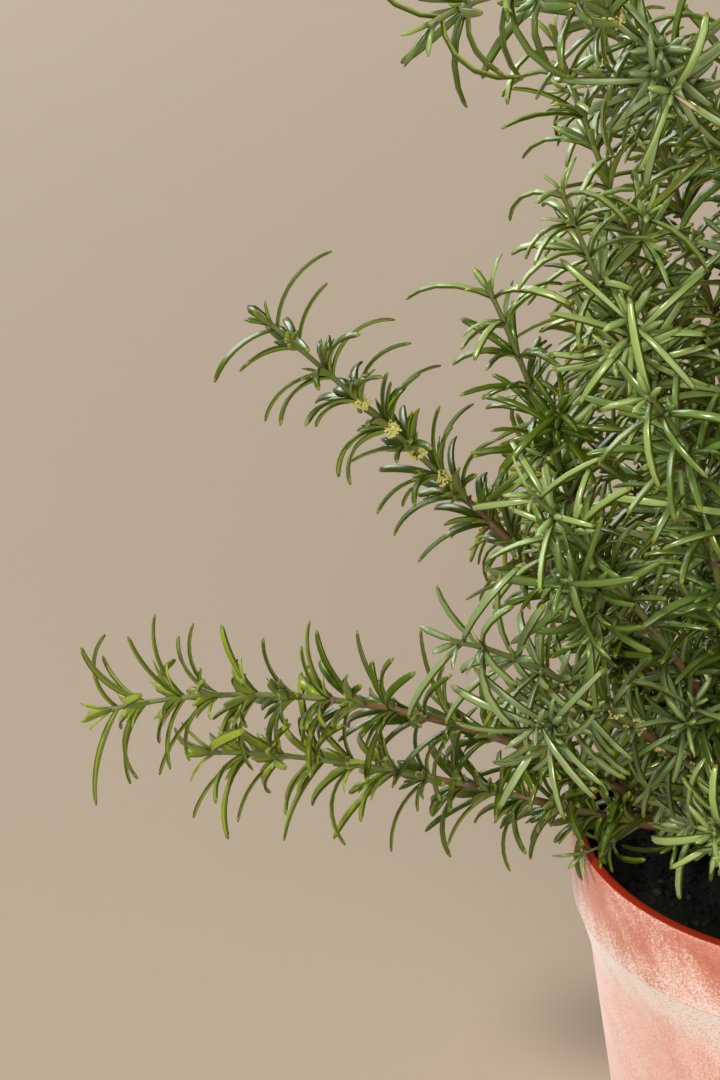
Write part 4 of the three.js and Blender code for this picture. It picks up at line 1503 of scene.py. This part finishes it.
class RosemaryLeaves(bpy.types.Operator):
    """Adds the leaves, joined into one piece for each bough"""

    bl_idname = "rosemary.add_leaves"
    bl_label = "Add Leaves"

    def execute(self, context):
        settings = context.scene.rosemary_leaves
        materials = [
            leaf_skin(f"leaf_{name}", getattr(settings, name), *finish)
            for name, finish in LEAF_FINISHES.items()
        ]
        for place, bough in enumerate(grown_plant()):
            rng = np.random.default_rng([SEED, 100 + place])
            foliage = Foliage(settings, bough["ring"]["beside"], rng)
            tones = BOUGH_TONES.get(bough["name"], SPRAY_TONES)
            for stem in bough["stems"]:
                foliage.dress(stem, DEEP if stem.is_lone else tones[rng.integers(len(tones))])
            piece = foliage.piece(f"leaves_{bough['name']}", settings.thickness / MM, materials)
            finish_piece(piece, [f"foliage_{bough['name']}_{letter}" for letter in "ab"])
        return {"FINISHED"}


class RosemaryBuds(bpy.types.Operator):
    """Adds clusters of pale buds at some of the nodes"""

    bl_idname = "rosemary.add_buds"
    bl_label = "Add Buds"

    def execute(self, context):
        rng = np.random.default_rng([SEED, 500])
        spots = []
        for bough in grown_plant():
            for stem in bough["stems"]:
                is_budded = bough["name"] in BUDDED and stem is bough["stems"][0]
                nearest_bud, last_bud, grains = BUDDED[bough["name"]] if is_budded else (0, 0, 0)
                for distance, _, _ in stem.nodes[2:-4]:
                    if nearest_bud < stem.limb.length - distance < last_bud:
                        spots.append(self.cluster(stem, distance, grains, rng))
                    elif rng.random() < BUD_CHANCE:
                        spots.append(self.cluster(stem, distance, STRAY_BUDS, rng))
        mesh = bpy.data.meshes.new("bud_clusters")
        mesh.from_pydata((np.vstack(spots) * MM).tolist(), [], [])
        piece = add_object("bud_clusters", mesh)
        skin = grained("bud_skin", context.scene.rosemary_wood.bud, 0.6, 0.2, 1800, 2)
        reshape(piece, self.shape(), bud_size=BUD_SIZE, seed=11, skin=skin)
        finish_piece(piece)
        return {"FINISHED"}

    def cluster(self, stem, distance, count, rng):
        """Points round one node, just off the stem."""
        share = stem.limb.share_at(distance)
        along, side, upper = stem.limb.frame(share)
        turns = 2 * math.pi * rng.random(count)
        out = np.cos(turns)[:, None] * side + np.sin(turns)[:, None] * upper
        reach = (float(stem.radius_at(distance)) + 0.1 + BUD_REACH * rng.random(count) ** 1.3)[:, None]
        shift = (BUD_SHIFT * (rng.random(count) - 0.4))[:, None]
        return stem.limb.at(share) + out * reach + along * shift

    def shape(self):
        """A rounded bud, a little longer than wide, on each point."""
        shape = Shape("buds_at_nodes", bud_size="Float", seed="Int", skin="Material")
        size = shape.given["bud_size"]
        wide = shape.random_number(*BUD_WIDTHS, shape.given["seed"]) * size
        long = shape.random_number(*BUD_LENGTHS, 2) * size
        scale = shape.add("ShaderNodeCombineXYZ", {"X": wide, "Y": wide, "Z": long})
        points = shape.add("GeometryNodeMeshToPoints", {"Mesh": shape.given["Geometry"]})
        return shape.close(shape.scattered(points, shape.grain(), shape.given["seed"], scale), skin=True)


class RosemaryStage(bpy.types.Operator):
    """Adds the floor, the lights and the camera"""

    bl_idname = "rosemary.add_stage"
    bl_label = "Add Stage"

    def execute(self, context):
        stage = context.scene.rosemary_stage
        mesh = bpy.data.meshes.new("floor")
        corners = [(x * FLOOR_REACH, y * FLOOR_REACH, 0) for x, y in ((-1, -1), (1, -1), (1, 1), (-1, 1))]
        mesh.from_pydata(corners, [], [(0, 1, 2, 3)])
        paint = grained("floor_paint", stage.floor, 0.78, 0.12, 9, 4, depth=0, specular_ior_level=0.15)
        mesh.materials.append(paint)
        add_object("floor", mesh)
        sun = self.add_light("key", "SUN", stage.key_power, SUN_COLOUR)
        sun.data.angle = math.radians(SUN_ANGLE)
        sun.rotation_euler = (0, math.radians(SUN_TILT), math.radians(SUN_TURN))
        self.add_lamp("fill", stage.fill_power, **FILL)
        self.add_lamp("window", stage.window_power, **WINDOW)
        world = bpy.data.worlds.new("studio")
        world.use_nodes = True
        background = world.node_tree.nodes["Background"]
        background.inputs["Color"].default_value = WORLD_COLOUR
        background.inputs["Strength"].default_value = WORLD_STRENGTH
        context.scene.world = world
        context.scene.view_settings.view_transform = "Standard"
        lens = bpy.data.cameras.new("camera")
        lens.sensor_width = SENSOR_WIDTH
        lens.lens = CAMERA_LENS
        lens.clip_start = 0.01
        camera = add_object("camera", lens)
        camera.location = CAMERA_PLACE
        camera.rotation_euler = (math.radians(90 - CAMERA_TILT), 0, 0)
        context.scene.camera = camera
        return {"FINISHED"}

    def add_light(self, name, kind, power, colour):
        light = bpy.data.lights.new(name, kind)
        light.energy = power
        light.color = colour
        return add_object(name, light)

    def add_lamp(self, name, power, place, size, colour):
        """A round light that faces the middle of the plant and isn't seen itself."""
        lamp = self.add_light(name, "AREA", power, colour)
        lamp.data.shape = "DISK"
        lamp.data.size = size
        lamp.visible_camera = False
        lamp.location = place
        x, y, z = np.array([0, 0, LIT_HEIGHT]) - np.array(place)
        rise = math.atan2(-z, math.hypot(x, y))
        lamp.rotation_euler = (math.pi / 2 - rise, 0, math.atan2(-x, y))


class RosemaryPanel(bpy.types.Panel):
    """Lists the pieces of the potted rosemary"""

    bl_idname = "VIEW3D_PT_rosemary"
    bl_label = "Potted Rosemary"
    bl_space_type = "VIEW_3D"
    bl_region_type = "UI"
    bl_category = "Rosemary"

    def draw(self, context):
        for operator in OPERATORS:
            self.layout.operator(operator.bl_idname)


OPERATORS = [
    RosemaryPot, RosemarySoil, RosemaryTrunk, RosemaryBoughs, RosemaryTwigs, RosemaryLeaves,
    RosemaryBuds, RosemaryStage,
]
SETTINGS = {
    "rosemary_pot": RosemaryPotSettings,
    "rosemary_leaves": RosemaryLeafSettings,
    "rosemary_wood": RosemaryWoodSettings,
    "rosemary_stage": RosemaryStageSettings,
}


def register():
    for name, settings in SETTINGS.items():
        bpy.utils.register_class(settings)
        setattr(bpy.types.Scene, name, PointerProperty(type=settings))
    for operator in OPERATORS:
        bpy.utils.register_class(operator)
    bpy.utils.register_class(RosemaryPanel)


def unregister():
    bpy.utils.unregister_class(RosemaryPanel)
    for operator in reversed(OPERATORS):
        bpy.utils.unregister_class(operator)
    for name, settings in SETTINGS.items():
        delattr(bpy.types.Scene, name)
        bpy.utils.unregister_class(settings)


def main():
    register()
    bpy.ops.rosemary.add_pot()
    bpy.ops.rosemary.add_soil()
    bpy.ops.rosemary.add_trunk()
    bpy.ops.rosemary.add_boughs()
    bpy.ops.rosemary.add_twigs()
    bpy.ops.rosemary.add_leaves()
    bpy.ops.rosemary.add_buds()
    bpy.ops.rosemary.add_stage()


if __name__ == "__main__":
    main()
